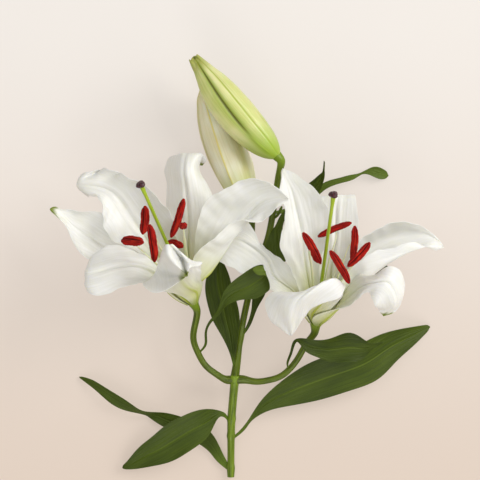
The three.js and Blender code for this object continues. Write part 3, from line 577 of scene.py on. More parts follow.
stem_radius = knots(
    (0, 2.75), (0.03, 2.95), (0.09, 3.35), (0.14, 2.9), (0.36, 3.0), (0.4, 3.5), (0.45, 3.1), (0.53, 3.2),
    (0.57, 3.65), (0.62, 3.3), (0.9, 3.5), (1, 4.0),
)
stalk("main_stem", STEM, stem_radius, steps=120, domes=(0.02, 0.5))
flower_stalk = knots((0, 3.7), (0.06, 3.5), (0.14, 2.75), (0.5, 2.5), (0.85, 2.8), (0.95, 3.6), (1, 4.9))
stalk("left_flower_stalk", LEFT_STALK, flower_stalk)
stalk("right_flower_stalk", RIGHT_STALK, flower_stalk)
green_stalk = knots(
    (0, 3.7), (0.06, 3.3), (0.15, 2.75), (0.2, 3.3), (0.24, 2.7), (0.9, 2.6), (0.96, 3.2), (1, 4.2)
)
stalk("green_bud_stalk", GREEN_STALK, green_stalk, steps=150)
white_stalk = knots((0, 2.0), (0.1, 2.3), (0.85, 2.6), (0.94, 3.3), (1, 4.2))
stalk("white_bud_stalk", WHITE_STALK, white_stalk, steps=70)

# ---- buds


def bud(name, foot, axis, length, radius, bend, skin, seam, rib, rib_rise, end, tips):
    """A closed bud. seam and rib are the angles, in degrees, of one sunken seam and one rib, and each repeats
    three times round it. end is how wide it ends, as a share of its radius, and past that the points of its
    outer petals stand up between the seams by tips."""
    side = unit([axis[1], -axis[0], 0])
    rise = np.linspace(0, 1, 7)[:, None]
    points = foot + axis * (rise * (length - tips)) - side * (bend * np.sin(math.pi * rise))
    swell = knots((0, 0.26), (0.03, 0.42), (0.08, 0.6), (0.17, 0.79), (0.31, 0.94), (0.46, 1), (0.62, 0.95),
                  (0.77, 0.79), (0.88, 0.57), (0.95, 0.36 + end / 4), (1, end))

    def turned(v, angle, line):
        """The angle from a line that starts at line degrees and winds a little round the bud."""
        return angle - math.radians(line) - 0.3 * (v - 0.5)

    def lobes(v, angle):
        return np.cos(3 * (turned(v, angle, seam) - math.pi / 3))

    def section(v, angle):
        groove = spoke(turned(v, angle, seam), 0.1, 3) * ease(v, 0.15, 0.45)
        ridge = spoke(turned(v, angle, seam), 0.08, 3) * ease(v, 0.02, 0.1) * (1 - ease(v, 0.2, 0.4))
        raised = 0.04 * ridge + rib_rise * spoke(turned(v, angle, rib), 0.07, 3)
        return 0.975 + 0.03 * lobes(v, angle) - 0.085 * groove + raised

    places, faces, values, turn = tube(points, lambda v: radius * swell(v), 130, 132, section, (0.3, 0.7))
    run = values["along"]
    lift = ease(lobes(run, turn), -0.2, 1.0) * ease(run, 0.93, 1.0) * (1 - 0.6 * values["end"])
    places = places + axis * (tips * lift)[:, None]
    values["rib"] = spoke(turned(run, turn, rib), 0.05, 3)
    values["seam"] = spoke(turned(run, turn, seam), 0.085, 3)
    values["halo"] = spoke(turned(run, turn, seam), 0.3, 3)
    return make(name, places, faces, values, skin)


bud(
    "white_bud", WHITE_BUD_FOOT, WHITE_BUD_AXIS, length=98, radius=17, bend=0, skin=white_bud_skin,
    seam=-75, rib=-15, rib_rise=0.05, end=0.14, tips=1,
)
bud(
    "green_bud", GREEN_BUD_FOOT, GREEN_BUD_AXIS, length=104, radius=16, bend=3, skin=green_bud_skin,
    seam=-13, rib=25, rib_rise=-0.03, end=0.27, tips=5,
)

# ---- flowers


def ruffled(seed, ruffle, groove, crimps):
    """Relief of a petal: a channel along the midrib, fine veins, soft swells and a wavy margin. Each crimp is
    (margin, place along, depth), a short valley that runs in from the left margin, -1, or the right, 1."""
    rng = np.random.default_rng(seed)
    swells = [(rng.uniform(1, 3), rng.uniform(2, 7), rng.uniform(0, 6.3)) for _ in range(4)]
    left, right = rng.uniform(0, 6.3, 2)

    def relief(t, v):
        fading = 1 - ease(v, 0.6, 0.97)
        height = -groove * peak(t, 0, 0.07) * fading
        height += 0.5 * groove * (peak(t, 0.17, 0.09) + peak(t, -0.17, 0.09)) * fading
        height += 0.05 * np.cos(2 * np.pi * 5.5 * t) * ease(abs(t), 0.12, 0.3) * (1 - ease(v, 0.8, 1))
        for across, along, phase in swells:
            height += 0.22 * np.sin(across * np.pi * t + along * np.pi * v + phase) * ease(v, 0.05, 0.3)
        for edge, place, depth in crimps:
            height -= depth * peak(v, place + 0.05 * (1 - t * edge), 0.028) * ease(t * edge, 0.2, 0.9)
        margin = ease(abs(t), 0.45, 1.0) * ease(v, 0.15, 0.45) * (1 - ease(v, 0.9, 1.0))
        phase = np.where(t < 0, left, right)
        return height + ruffle * margin * np.sin(2 * np.pi * 3.2 * v + phase)

    return relief


def around(flower, degrees, radius, height):
    """The point at an angle round a flower's axis, at a radius from it and a height above its foot."""
    angle = math.radians(degrees)
    outward = flower["side"] * math.cos(angle) + flower["front"] * math.sin(angle)
    return flower["base"] + outward * radius + flower["axis"] * height


def wavy(seed, size, crimps):
    """Small irregular waves of a petal's margins, in millimetres outward, drawn in where it is crimped."""
    rng = np.random.default_rng(900 + seed)
    waves = [
        (rng.uniform(3, 6), rng.uniform(0, 6.3), rng.uniform(0, 6.3), 0.6),
        (rng.uniform(8, 13), rng.uniform(0, 6.3), rng.uniform(0, 6.3), 0.4),
    ]

    def outline(t, v):
        total = np.zeros_like(t)
        for rate, left, right, share in waves:
            total += share * np.sin(2 * np.pi * rate * v + np.where(t < 0, left, right))
        total *= size * ease(v, 0.2, 0.4) * (1 - ease(v, 0.93, 1))
        for edge, place, depth in crimps:
            total -= 0.5 * depth * peak(v, place, 0.02) * (t * edge > 0)
        return total

    return outline


def petal(side, number, angle, kind, stations, size=0.7, crimps=(), ruffle=1.3, groove=1.2, **options):
    """A petal at an angle, in degrees, round its flower's axis. size is that of the waves of its outline."""
    flower = FLOWERS[side]
    inner, outer = flower["throat"]
    ring, mouth = (3.1, inner) if kind == INNER else (4.3, outer)
    turns = options.get("rails_at", (-1, 0, 1))
    # Its first stations curve round the flower's foot and its throat.
    foot = [
        [around(flower, angle + 48 * turn, ring, -0.4) for turn in turns],
        [around(flower, angle + 46 * turn, mouth, 14) for turn in turns],
    ]
    seed = number + len(side)
    relief, outline = ruffled(seed, ruffle, groove, crimps), wavy(seed, size, crimps)
    name = f"{side}_petal_{number}"
    return blade(name, foot + stations, petal_skins[kind], "petal", relief, outline, **options)


def stamen(side, number, angle, start, end, anther_radius=3.1):
    """A thin filament that ends square to the middle of its anther, two lobes with a furrow between them."""
    flower = FLOWERS[side]
    start, end = np.array(start), np.array(end)
    middle = (start + end) / 2
    along = unit(end - start)
    bow = np.array([along[1], -along[0], 0]) * 0.8
    bend = around(flower, angle, 5.2, 13)
    rise = (bend + middle) / 2 + flower["axis"] * 3
    arrival = middle - rise
    arrival = unit(arrival - along * arrival.dot(along))
    tip = middle - arrival * (anther_radius + 0.75)
    turn = tip - arrival * 3
    route = [around(flower, angle, 1.95, -0.4), bend, rise * 0.7 + turn * 0.3, tip, middle - arrival]
    thinning = knots((0, 0.9), (0.3, 0.75), (0.85, 0.55), (0.97, 0.3), (1, 0.25))
    places, faces, values, _ = tube(route, thinning, 60, 12, domes=(0, 1))
    make(f"{side}_filament_{number}", places, faces, values, filament_skin)

    rng = np.random.default_rng(40 * number + len(side))
    phases = rng.uniform(0, 6.3, 3)
    furrow = 0.3  # its half width as an angle; it faces away from the filament

    def section(v, angle):
        lobes = 0.9 + 0.1 * np.cos(2 * (angle - math.pi / 2))
        lumps = 0.035 * np.sin(5 * angle + phases[0] + 9 * v) + 0.03 * np.sin(3 * angle + phases[1] - 14 * v)
        lumps += 0.025 * np.sin(8 * angle + phases[2] + 40 * v)
        return lobes + lumps - 0.3 * spoke(angle, furrow) * ease(v, 0.02, 0.15) * (1 - ease(v, 0.85, 0.98))

    half = np.linalg.norm(end - start) / 2
    bends = [(-1, 1), (-0.45, 0.2), (0.45, 0.2), (1, 1)]
    points = [middle + along * half * far + bow * sideways for far, sideways in bends]
    shape = knots(
        (0, 0.42), (0.05, 0.7), (0.15, 0.92), (0.35, 1.03), (0.7, 1.0), (0.88, 0.85), (0.96, 0.62), (1, 0.36)
    )
    places, faces, values, turns = tube(
        points, lambda v: anther_radius * shape(v), 70, 48, section, (0.8, 0.8), up=arrival
    )
    values["seam"] = spoke(turns, furrow) * (1 - values["end"])
    make(f"{side}_anther_{number}", places, faces, values, pollen)


def pistil(side):
    """Ribbed ovary, long style and three-lobed stigma."""
    flower = FLOWERS[side]
    foot, axis, tip = flower["base"], flower["axis"], flower["tip"]
    sag = np.array([0, 0, -2])
    points = [foot - axis, foot + (tip - foot) / 3 + sag, foot + (tip - foot) * 2 / 3 + sag, tip + axis * 0.6]
    width = knots((0, 1.5), (0.06, 1.9), (0.15, 2.15), (0.25, 1.85), (0.33, 1.4), (0.9, 1.4), (1, 2.1))

    def ribs(v, angle):
        return 1 + 0.08 * np.cos(6 * angle) * (1 - ease(v, 0.25, 0.36)) + 0.03 * np.cos(3 * angle)

    places, faces, values, _ = tube(points, width, 110, 36, ribs, (0, 0.4))
    make(f"{side}_pistil", places, faces, values, pistil_skin)

    first_cleft = -0.5

    def lobes(v, angle):
        cleft = spoke(angle - first_cleft, 0.16, 3) * ease(v, 0.2, 0.8)
        return 1.02 + 0.12 * np.cos(3 * (angle - first_cleft + math.pi / 3)) - 0.26 * cleft

    crown = [tip - axis * 0.2, tip + axis * 1.4, tip + axis * 3]
    swell = knots((0, 2.1), (0.3, 3.3), (0.6, 3.8), (1, 3.3))
    places, faces, values, turns = tube(crown, swell, 24, 72, lobes, (0.2, 0.5))
    values["seam"] = spoke(turns - first_cleft, 0.14, 3) * ease(values["along"], 0.4, 0.9)
    make(f"{side}_stigma", places, faces, values, stigma_skin)


def heart(side, stamens):
    """A flower's pistil and its stamens, each as the angle at which its filament stands, the two ends of its
    anther and, where it isn't the usual one, the anther's radius."""
    for number, ends in enumerate(stamens, 1):
        stamen(side, number, *ends)
    pistil(side)


petal("left", 1, 186, OUTER, [
    [(-73.6, -29, 51), (-75, -21, 43), (-71, -12, 44)],
    [(-97.6, -22.4, 52), (-100, -10.4, 44), (-95, 3, 49)],
    [(-117.6, -16, 52), (-119, 1.6, 44), (-111, 22, 53)],
    [(-134.4, -0.8, 54), (-133.4, 11.2, 49), (-129.6, 22.2, 57)],
    [(-143.4, 15.2, 56), (-144, 20.8, 54), (-142, 25.2, 55)],
    [(-151.6, 22.6, 57), (-152, 24.8, 57), (-150.6, 27.6, 57)],
])
petal("left", 2, 240, INNER, [
    [(-72, -18, 53), (-66, -11, 44), (-50, -4, 45)],
    [(-92, -5, 58), (-80, 7.6, 47), (-55, 18, 60)],
    [(-107, 8.8, 59), (-91, 24, 47), (-68, 35, 64)],
    [(-110.4, 22.4, 57), (-101, 37, 48), (-86, 49.6, 63)],
    [(-112.8, 32.8, 50), (-115, 43, 47), (-105.6, 55.6, 57)],
    [(-121.6, 35.2, 40), (-130, 43.2, 42), (-124, 55, 47)],
    [(-119, 34.8, 31), (-127, 39.6, 31), (-129.5, 47.6, 36)],
], size=1.1, crimps=[
    (1, 0.66, 3), (1, 0.76, 5), (1, 0.85, 5.5), (-1, 0.5, 2.4), (-1, 0.62, 2.4), (-1, 0.93, 3),
])
petal("left", 3, 300, OUTER, [
    [(-49.6, -17.6, 38), (-41, -14.4, 33), (-34, -12, 38)],
    [(-56, 6.4, 37), (-41, 9.6, 31), (-26, 11.2, 36)],
    [(-58.4, 27.2, 21), (-42.4, 29.6, 35), (-22.4, 29.6, 31)],
    [(-57.6, 43.2, 13), (-44, 45.6, 38), (-25.4, 44.8, 30)],
    [(-62, 55.2, 9), (-45, 57.6, 37), (-31.6, 56.8, 30)],
    [(-56.5, 66.4, 9), (-42.4, 69.4, 30), (-29.4, 68.6, 31)],
    [(-50, 64, 21), (-38.4, 65, 24), (-28, 64, 29.5)],
    [(-32, 60, 22), (-30, 60, 22), (-28.6, 61, 23)],
])
petal("left", 4, 0, INNER, [
    [(-37, -17.6, 45), (-24.8, -26.4, 50), (-38, -18.6, 70)],
    [(-35.2, 6.4, 54), (-15.2, -12, 52), (-30, -6, 77)],
    [(-28, 28.8, 63), (-4, 4, 53), (-17, 6.2, 80)],
    [(-11.2, 42.6, 70), (6.4, 20, 54), (2.4, 14.8, 76)],
    [(8, 47.4, 76), (18.4, 31, 60), (17.6, 16, 71)],
    [(25.6, 44.8, 77), (29.6, 34.4, 67), (29.6, 25.6, 70)],
    [(37.6, 35.2, 71), (38.8, 32.8, 71), (37.2, 31.2, 70)],
])
petal("left", 5, 124, INNER, [
    [(-65.6, -37.6, 70), (-66.4, -28, 64), (-64, -19.2, 60)],
    [(-80, -34.4, 83), (-83.2, -20.8, 74), (-80, -11.2, 66)],
    [(-94.4, -38.4, 92), (-100, -21.6, 81), (-96, -4, 68)],
    [(-108.8, -43.6, 94), (-113.6, -25.6, 85), (-108.8, -7.6, 70)],
    [(-122.4, -42, 90), (-123.4, -28, 82), (-120, -13.6, 70)],
    [(-122, -38.4, 81), (-121.6, -28, 73), (-118.4, -17.6, 64)],
    [(-117, -33, 73), (-116.8, -29, 67), (-116, -24, 63)],
])
petal("left", 6, 66, OUTER, [
    [(-31.2, -32, 75), (-36.8, -33.6, 80), (-43.2, -36.8, 80), (-48, -39.2, 74), (-52.8, -40.8, 69),
     (-57.6, -41.2, 63)],
    [(-31.2, -24, 93), (-41.6, -21.6, 101), (-52.8, -20.8, 94), (-57.6, -25.6, 80), (-62.4, -32, 72),
     (-67.2, -37.6, 66)],
    [(-30.4, -17.6, 107), (-42.4, -14, 118), (-55.2, -3.6, 127), (-61, -7.6, 119), (-66, -24.2, 91),
     (-77.6, -35.2, 86)],
    [(-31.6, -20, 110), (-41.6, -16.8, 122), (-51.6, -8.8, 120), (-58.2, -11.4, 131), (-60.6, -25.2, 94),
     (-72.8, -40.4, 99)],
    [(-36, -22, 117), (-41.6, -20.4, 126), (-48, -16.8, 113), (-52.4, -18.8, 130), (-54.4, -28, 97),
     (-61.6, -40.4, 107)],
    [(-40, -24.8, 119), (-42.4, -24, 124), (-44.8, -23.2, 116), (-46.8, -24.4, 125), (-48.8, -28.2, 104),
     (-50.4, -33.6, 110)],
    [(-41.4, -28.5, 117), (-41.8, -28.6, 117), (-42.1, -28.8, 117), (-42.4, -29, 117.5), (-42.7, -29.3, 116),
     (-43, -29.6, 115)],
], rails_at=(-1, -0.5, 0, 0.3, 0.6, 1), ruffle=0.3, groove=0.4, rows=160, columns=73)
heart("left", [
    (210, (-75.2, 26.2, 76), (-76.8, 5.2, 84), 3.6),
    (90, (-71.2, 11.6, 104), (-67.4, -16.8, 98), 3.4),
    (150, (-93.6, 0, 98), (-77.6, -1.2, 107), 4.0),
    (330, (-44.5, 32, 58), (-54.2, 2.4, 64), 3.2),
    (30, (-45.2, 12.4, 110), (-45.4, 10.2, 84)),
    (270, (-56.5, -0.6, 54), (-46, -5, 63)),
])

petal("right", 1, 240, INNER, [
    [(46.4, -36, 53), (54.4, -30.4, 45), (63, -26, 47)],
    [(36.8, -18.4, 56), (51.2, -10.4, 47), (68, -6.4, 51)],
    [(33.6, 2.4, 56), (48.8, 7.2, 47), (71.2, 14.4, 53)],
    [(35.6, 22.4, 53), (44.8, 25.6, 45), (68, 31.2, 51)],
    [(33.6, 37.6, 51), (40.8, 40.8, 45), (56, 43.6, 50)],
    [(32.6, 50.4, 47), (36, 51.6, 44), (44, 53.2, 46)],
    [(32.8, 56.8, 44), (34.4, 57.2, 43), (36.4, 57, 44)],
])
petal("right", 2, 300, OUTER, [
    [(62.4, -27.2, 38), (73, -25.6, 35), (84.5, -28, 42)],
    [(62.4, -6.4, 36), (76, -4.8, 33), (91.6, -12, 42)],
    [(60, 14.4, 34), (76.8, 16, 31), (93.6, 6.4, 40)],
    [(60.8, 28.8, 32), (77.6, 29, 30), (94, 22.4, 36)],
    [(64.8, 35.6, 28), (79.2, 36, 28), (92.6, 35.4, 29)],
    [(70.4, 32, 19), (80.8, 31.2, 19), (90, 30.4, 21)],
    [(79.2, 24.8, 13), (80.8, 24, 13), (82.4, 24.8, 13)],
])
petal("right", 3, 2, INNER, [
    [(79, -31, 46), (83, -34.5, 43), (88, -36.8, 54), (83.2, -28, 62)],
    [(89, -12.4, 58), (94, -20.5, 43), (102.4, -30.4, 57), (94, -18, 66)],
    [(98.4, 2, 62), (105.5, -8, 43), (115.2, -19.2, 56), (108, -9, 65)],
    [(113.6, 11.2, 62), (119, 1, 43), (128.8, -9.6, 54), (122.4, -6, 62)],
    [(130.4, 13.4, 59), (135, 5, 45), (142.4, -4.8, 53), (137.6, -2.5, 59)],
    [(147.2, 10, 53), (150.5, 4.5, 47), (155.2, -0.8, 51), (153.6, -7.2, 53)],
    [(162.4, -2.4, 46), (162.6, -4, 46), (162.8, -5.6, 46), (160.8, -8, 46)],
], rails_at=(-1, -0.5, 0, 1), ruffle=0.7, groove=0.5, rows=130, columns=61)
petal("right", 4, 52, OUTER, [
    [(84, -33, 48), (86, -47, 66), (80.5, -54.4, 72)],
    [(97, -27, 64), (97.2, -37.5, 83), (93.6, -48.2, 84)],
    [(108.8, -26.8, 89), (105.6, -34.4, 97), (101.4, -41.8, 94)],
    [(121.6, -21.2, 94), (116.8, -33.6, 102), (105.4, -47.2, 97)],
    [(130.4, -30.4, 90), (123.2, -41.6, 98), (108.6, -52, 94)],
    [(132, -42.4, 84), (124.8, -50.4, 90), (110.8, -56, 88)],
    [(125, -56, 79), (120, -57.2, 82), (112, -57.8, 83)],
    [(115.6, -60, 79), (114.4, -60.4, 79), (112.8, -59.4, 80)],
])
petal("right", 5, 108, INNER, [
    [(76, -51.5, 75), (71.2, -50.4, 79), (65.6, -50, 80), (52.8, -50, 72)],
    [(82, -43.2, 95), (76, -38.4, 101), (67.2, -39, 102), (50.4, -44.8, 89)],
    [(84, -37.6, 104), (75.2, -30.8, 115), (63.2, -35.6, 117), (40.8, -43, 95)],
    [(80, -44.8, 109), (69.6, -36.4, 119), (53.6, -41.2, 120), (28.8, -40.6, 97)],
    [(69.6, -49.2, 111), (59.2, -44, 118), (46.4, -48, 118), (20.8, -46.4, 98)],
    [(56.8, -54.8, 107), (50.4, -54.4, 110), (42.4, -59.2, 108), (23.2, -60.8, 95)],
    [(48.8, -65.6, 97), (45.6, -67.2, 98), (40.8, -68.8, 97), (31.2, -71.2, 91)],
    [(42.8, -74.4, 89), (41.9, -75.2, 89), (40.8, -76, 89), (37.6, -75.2, 88)],
], rails_at=(-1, -0.5, 0, 1), ruffle=0.5, groove=0.6, rows=140, columns=61)
petal("right", 6, 184, OUTER, [
    [(39.6, -48.4, 50), (42, -40.8, 44), (48, -37, 45)],
    [(22.4, -38.4, 51), (28, -29.6, 45), (39.6, -22.4, 48)],
    [(9.6, -32, 49), (21, -16, 43), (28.8, -11.6, 47)],
    [(-2.4, -24, 46), (8, -4.8, 42), (18.4, -5.2, 44)],
    [(-12.8, -20, 43), (-1.6, 0, 40), (12.4, 4.4, 41)],
    [(-18.4, -13.6, 40), (-11.2, 1.6, 37), (4.8, 14.4, 38)],
    [(-20.8, -2.4, 34), (-18.4, 3.2, 33), (-14.4, 8, 34)],
])
heart("right", [
    (135, (51.2, 5.6, 104), (64.8, -18, 100)),
    (75, (72.8, -8.8, 116), (87.5, -33.6, 110)),
    (285, (62.8, 3.7, 62), (88.3, 14.4, 62)),
    (345, (92.4, 10.4, 84), (90.4, -16.8, 80)),
    (25, (103.7, -3.2, 98), (86.8, -21.2, 101)),
    (215, (52.6, 3.2, 76), (62.6, -17.2, 74)),
])

# ---- leaves

# Each stalk that leaves grow from: its points and its usual radius.
STALKS = {
    "stem": (STEM, 3.3), "green": (GREEN_STALK, 2.7), "left": (LEFT_STALK, 2.6), "right": (RIGHT_STALK, 2.6),
}


def leaf_foot(which, y, direction, width, order):
    """The two margin points of a leaf's foot, just inside a stem's skin. order 1 or -1 says which of them is
    higher up the stem, and order 0 lays them across it."""
    points, radius = STALKS[which]
    line = spline(points, 300)
    if which in ("left", "right"):
        line = line[60:]  # past the fork, where y turns back
    middle = np.array([np.interp(y, line[:, 1], line[:, 0]), y, np.interp(y, line[:, 1], line[:, 2])])
    middle = middle + unit(direction) * (radius * 0.55)
    spread = np.array([0, width / 2, 0]) if order else np.array([-width / 2, 0, 0])
    pair = [middle + spread, middle - spread]
    return pair[::-1] if order < 0 else pair


def leaf(seed, name, channel, paler, foot, margins):
    """A leaf whose midrib is sunk by channel, a share of its width. paler, 0 to 1, lightens it, foot is as
    leaf_foot takes it, and margins are its stations."""
    stations = []
    for left, right in [leaf_foot(*foot)] + margins:
        left, right = np.array(left, float), np.array(right, float)
        rib = (left + right) / 2 - UP * (np.linalg.norm(left - right) * channel)
        stations.append([left, rib, right])
    rng = np.random.default_rng(seed)
    swell, left_wave, right_wave = rng.uniform(0, 6.3, 3)

    def relief(t, v):
        height = -0.5 * peak(t, 0, 0.05) * (1 - ease(v, 0.85, 1))
        height += 0.1 * np.cos(2 * np.pi * 4.5 * t) * ease(abs(t), 0.06, 0.2) * (1 - ease(v, 0.9, 1))
        height += 0.25 * np.sin(2 * np.pi * 2.2 * v + swell + 2 * t) * abs(t)
        phase = np.where(t < 0, left_wave, right_wave)
        return height + 0.5 * ease(abs(t), 0.5, 1) * np.sin(2 * np.pi * 3.6 * v + phase) * ease(v, 0.2, 0.5)

    form = {"columns": 41, "thickness": 0.7, "round_tip": 0.02, "tone": paler}
    return blade(name, stations, leaf_skin, "leaf", relief, **form)


leaf(70, "leaf_low_left", 0.05, 0.25, ("stem", -183, (-1, 0, 0), 5, -1), [
    [(-18.6, -177.6, 3), (-14.4, -170.6, 7)],
    [(-26, -169, 3), (-21, -157.6, 11)],
    [(-45, -157.6, 3), (-34, -147, 9)],
    [(-62.4, -149.6, 3), (-49.6, -141.6, 7)],
    [(-72, -143.4, 2.5), (-64, -138.4, 8)],
    [(-77.6, -140.6, 3), (-77, -137.4, 12)],
    [(-94.6, -136, 7), (-91, -129.4, 13)],
    [(-107.4, -128.5, 9), (-107.2, -118.8, 11)],
    [(-118.4, -118.8, 6), (-118.4, -112.8, 7)],
    [(-129.4, -110.6, 1.4), (-129, -109.4, 1.4)],
])
leaf(71, "leaf_front_left", 0.1, 0.15, ("stem", -146, (-1, 0, 0), 1.8, -1), [
    [(-13, -142.2, 17.4), (-11.8, -139.4, 17.6)],
    [(-16.8, -142.4, 20), (-16, -137.2, 20)],
    [(-24, -155.2, 23), (-27.2, -135.6, 26)],
    [(-32.8, -164, 24), (-39.2, -138.2, 28)],
    [(-44.8, -172.4, 21), (-54.4, -145.6, 26)],
    [(-59.2, -179.2, 17), (-69.6, -156.8, 21)],
    [(-75.2, -182.6, 12), (-81.6, -167.2, 15)],
    [(-86.4, -184.2, 8), (-90.4, -177.2, 10)],
    [(-94, -184.4, 6), (-94.8, -181.6, 6)],
])
leaf(72, "leaf_big_right", 0.1, 0.15, ("stem", -159, (1, 0, 0), 2.4, 1), [
    [(2.4, -150.4, 12), (4, -152.2, 11)],
    [(8.5, -142, 15), (8.8, -145.8, 13)],
    [(17.2, -128.8, 18), (20.8, -138, 14)],
    [(32.8, -113.6, 22), (40, -133.2, 15)],
    [(50.4, -101.6, 25), (64, -128.4, 16)],
    [(72, -92.8, 26), (88, -121.2, 17)],
    [(94.4, -84.4, 24), (110.4, -112, 16)],
    [(114.4, -75.4, 18), (125.6, -97.6, 12)],
    [(132.8, -70.6, 11), (138.4, -86, 8)],
    [(152.8, -68, 2), (152.8, -71.6, 1.6)],
])
leaf(73, "leaf_tall_left", 0.1, 0, ("green", -104, (-0.5, 0, 1), 2, 0), [
    [(-8.4, -90.4, 29), (-3.6, -89.8, 30)],
    [(-14.4, -77.6, 28), (-1.2, -76.8, 31)],
    [(-21.6, -64.8, 26), (-0.6, -64, 30)],
    [(-25.6, -53.6, 24), (-2, -51.2, 29)],
    [(-27.8, -40, 24), (-6.4, -37.6, 28)],
    [(-26.4, -28, 26), (-9.6, -25.6, 29)],
    [(-21.6, -17.6, 29), (-14.4, -16, 31)],
    [(-18.4, -9.6, 32), (-16.8, -9.6, 32)],
])
leaf(74, "leaf_curly", 0.12, 0.2, ("left", -90, (1, 0, 0.3), 1.8, 1), [
    [(-28.4, -83.4, 38), (-26.8, -84.2, 38)],
    [(-28.2, -74.4, 44), (-26.6, -74.6, 44)],
    [(-24.6, -64.8, 49), (-23, -66, 49)],
    [(-18.4, -56.8, 53), (-16, -59.2, 53)],
    [(-14.4, -44.8, 57), (-9.6, -52, 57)],
    [(-7.6, -35.2, 61), (2.4, -47.6, 60)],
    [(0.8, -28, 65), (12.8, -46.8, 61)],
    [(8.8, -22.4, 67), (21.6, -41.6, 61)],
    [(14.8, -20.2, 68), (23.4, -37.6, 64)],
    [(17.8, -20.4, 70.5), (20.8, -28.8, 69.5)],
    [(14, -20.6, 72.5), (16, -28, 72)],
    [(9.8, -22.2, 72), (10.8, -25.8, 71.5)],
])
leaf(75, "leaf_right_bract", 0.12, 0, ("right", -104, (-0.6, 0.5, 0.6), 1.8, 1), [
    [(37.6, -96.8, 41), (38.9, -97.6, 41)],
    [(40.2, -89.2, 46), (41.9, -90.2, 46)],
    [(43.6, -80, 50), (46, -81.6, 50)],
    [(50.4, -78.8, 52), (51.2, -88, 50)],
    [(60, -80.4, 52), (60.8, -93.6, 47)],
    [(73.6, -78, 50), (73.6, -97.6, 44)],
    [(88, -74.6, 48), (88, -98, 43)],
    [(97.6, -78.4, 45), (98.4, -95.2, 41)],
    [(104.8, -82.4, 42), (104.8, -88.8, 40)],
    [(114.8, -81.4, 40), (114.4, -83, 40)],
])
leaf(76, "leaf_tall_right", 0.1, 0, ("green", -77, (1, 0, 0.4), 1.8, 1), [
    [(6.6, -65.6, 28), (8.9, -67.2, 27)],
    [(8.8, -56, 29), (13.6, -55.2, 28)],
    [(10.4, -46.4, 30), (19.2, -45.6, 28)],
    [(12.8, -36, 31), (22.4, -33.6, 29)],
    [(15.2, -24, 33), (22.4, -22.4, 31)],
    [(18.4, -12.8, 34), (20, -12.8, 34)],
])
leaf(77, "leaf_back_pointed", 0.1, 0.3, ("green", -26, (1, 0, 0.6), 1.8, 1), [
    [(18.6, -17.6, 26), (26, -19.2, 25)],
    [(20.8, -8, 26), (37.6, -16, 26)],
    [(22.8, 0, 26), (37, -4, 27)],
    [(25.2, 7.2, 26.5), (34, 5.6, 27)],
    [(28.8, 12.8, 27), (34.8, 12.8, 27)],
    [(32.8, 20, 27), (37.6, 20.4, 27)],
    [(35.8, 24, 27), (37.4, 23.2, 27)],
])
leaf(78, "leaf_back_narrow", 0.05, 0.8, ("green", 17, (1, 0, 0), 1.6, 1), [
    [(29.8, 21.4, 23), (31.4, 20, 23)],
    [(31.4, 24.2, 24), (33, 23.2, 24)],
    [(32.8, 27.2, 25), (34.2, 26.8, 25)],
])
leaf(79, "leaf_small_upright", 0.08, 0, ("green", 30, (1, 0, 0), 2.2, 1), [
    [(41.6, 35.4, 22), (44, 29.6, 21)],
    [(50.4, 41.4, 20), (55.2, 32, 19)],
    [(57.6, 47.4, 20), (64, 39.2, 19)],
    [(63.2, 52, 22), (66.8, 46.4, 21)],
    [(66.2, 55, 25), (67.7, 52.8, 25)],
    [(67, 63.6, 32), (68.2, 62.6, 32)],
])
leaf(80, "leaf_spoon", 0.08, 0.7, ("green", 22, (1, 0, -0.5), 2, 1), [
    [(44, 28, 13), (45.6, 23.2, 13)],
    [(56, 36.8, 10), (59.2, 32, 10)],
    [(66.9, 45.6, 10), (68.8, 40.8, 10)],
    [(78.4, 49.6, 11), (80, 45.2, 11)],
    [(88.8, 52.2, 11), (91.2, 48.8, 11)],
    [(97.2, 54, 9), (97.6, 52.8, 9)],
    [(104.8, 58.2, 9), (104, 52.3, 8)],
    [(112, 58.6, 8), (111.2, 49.1, 6)],
    [(118.4, 54.4, 4), (117.6, 49.6, 3)],
    [(119.4, 52.8, 2.6), (119.2, 50.8, 2.4)],
])
leaf(81, "leaf_behind_flower", 0.1, 0, ("green", -4, (1, 0, 0), 2, 1), [
    [(40, -4.8, 14), (40, -11.2, 13)],
    [(60, -9.6, 10), (59.2, -19.2, 10)],
    [(80, -13.6, 9), (79.2, -24.8, 9)],
    [(96, -17.6, 10), (96.8, -29.6, 10)],
    [(107.2, -19.2, 13), (111.2, -28, 13)],
    [(116.8, -19.4, 16), (119.6, -22, 16)],
])

# ---- stage

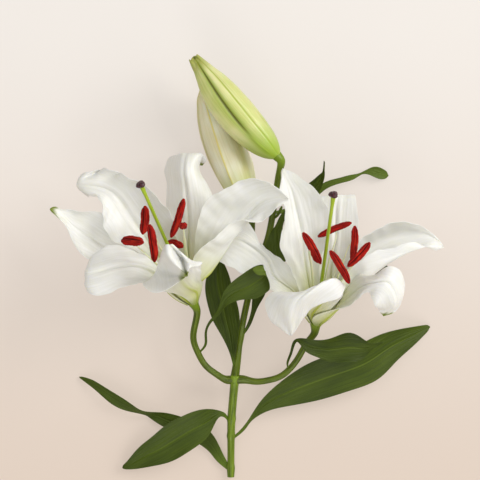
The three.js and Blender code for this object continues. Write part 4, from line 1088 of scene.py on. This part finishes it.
floor_mesh = bpy.data.meshes.new("floor")
reach = 60.0  # metres, past all that a level view sees
corners = [(-reach, -reach, 0), (reach, -reach, 0), (reach, reach, 0), (-reach, reach, 0)]
floor_mesh.from_pydata(corners, [], [(0, 1, 2, 3)])
floor = bpy.data.objects.new("floor", floor_mesh)
bpy.context.scene.collection.objects.link(floor)
paper = Graph("paper", 0.8)
spot = paper.node("TexCoord", {}).outputs["Object"]
up_the_plant = paper.node("SeparateXYZ", {0: spot}).outputs["Y"]
mottle = paper.node("TexNoise", {"Vector": spot, "Scale": 9.0, "Detail": 2.0}).outputs["Fac"]
tint = paper.mix(paper.span(up_the_plant, -0.22, 0.24), rgb(226, 208, 193), rgb(243, 237, 231))
tint = paper.mix(paper.times(mottle, 0.06), tint, rgb(214, 200, 188))
# The paper glows a little, so that shadows on it stay soft and pale.
lit_share, glow_share, glow_strength = 0.34, 0.62, 0.98
paper.colour = paper.mix(lit_share, rgb(0, 0, 0), tint)
glow = paper.mix(glow_share, rgb(0, 0, 0), tint)
floor_mesh.materials.append(paper.finish(Emission_Color=glow, Emission_Strength=glow_strength))

scene = bpy.context.scene
scene.view_settings.view_transform = "Standard"
world = bpy.data.worlds.new("studio")
world.use_nodes = True
background = world.node_tree.nodes["Background"].inputs
background["Color"].default_value = (1.0, 0.985, 0.93, 1.0)
background["Strength"].default_value = 0.42
scene.world = world

middle = shift + Vector((0, 0, 0.06))  # the plant's own origin, raised to about half the plant's height


def lamp(name, place, size, power, colour):
    """A square softbox at a place, in metres from the middle, that faces it."""
    light = bpy.data.lights.new(name, "AREA")
    light.size = size
    light.energy = power
    light.color = colour
    holder = bpy.data.objects.new(name, light)
    holder.location = middle + Vector(place)
    holder.rotation_euler = Vector(place).to_track_quat("Z", "Y").to_euler()
    holder.visible_camera = False
    scene.collection.objects.link(holder)


lamp("key", (2.4, 1.2, 2.1), 1.8, 76, (1.0, 0.99, 0.97))
lamp("low", (0.2, -2.4, 2.0), 1.6, 26, (1.0, 0.99, 0.97))
lamp("top", (-0.3, 0.5, 3.0), 3.0, 26, (1.0, 1.0, 1.0))

# A long lens from high above, looking straight down. It sees 384 mm of the plant's middle level.
camera_height, view_width = 12, 0.384
lens = bpy.data.cameras.new("camera")
lens.sensor_width = 36
lens.lens = lens.sensor_width * camera_height / view_width
lens.clip_end = 200
camera = bpy.data.objects.new("camera", lens)
camera.location = middle + Vector((0, 0, camera_height))
scene.collection.objects.link(camera)
scene.camera = camera
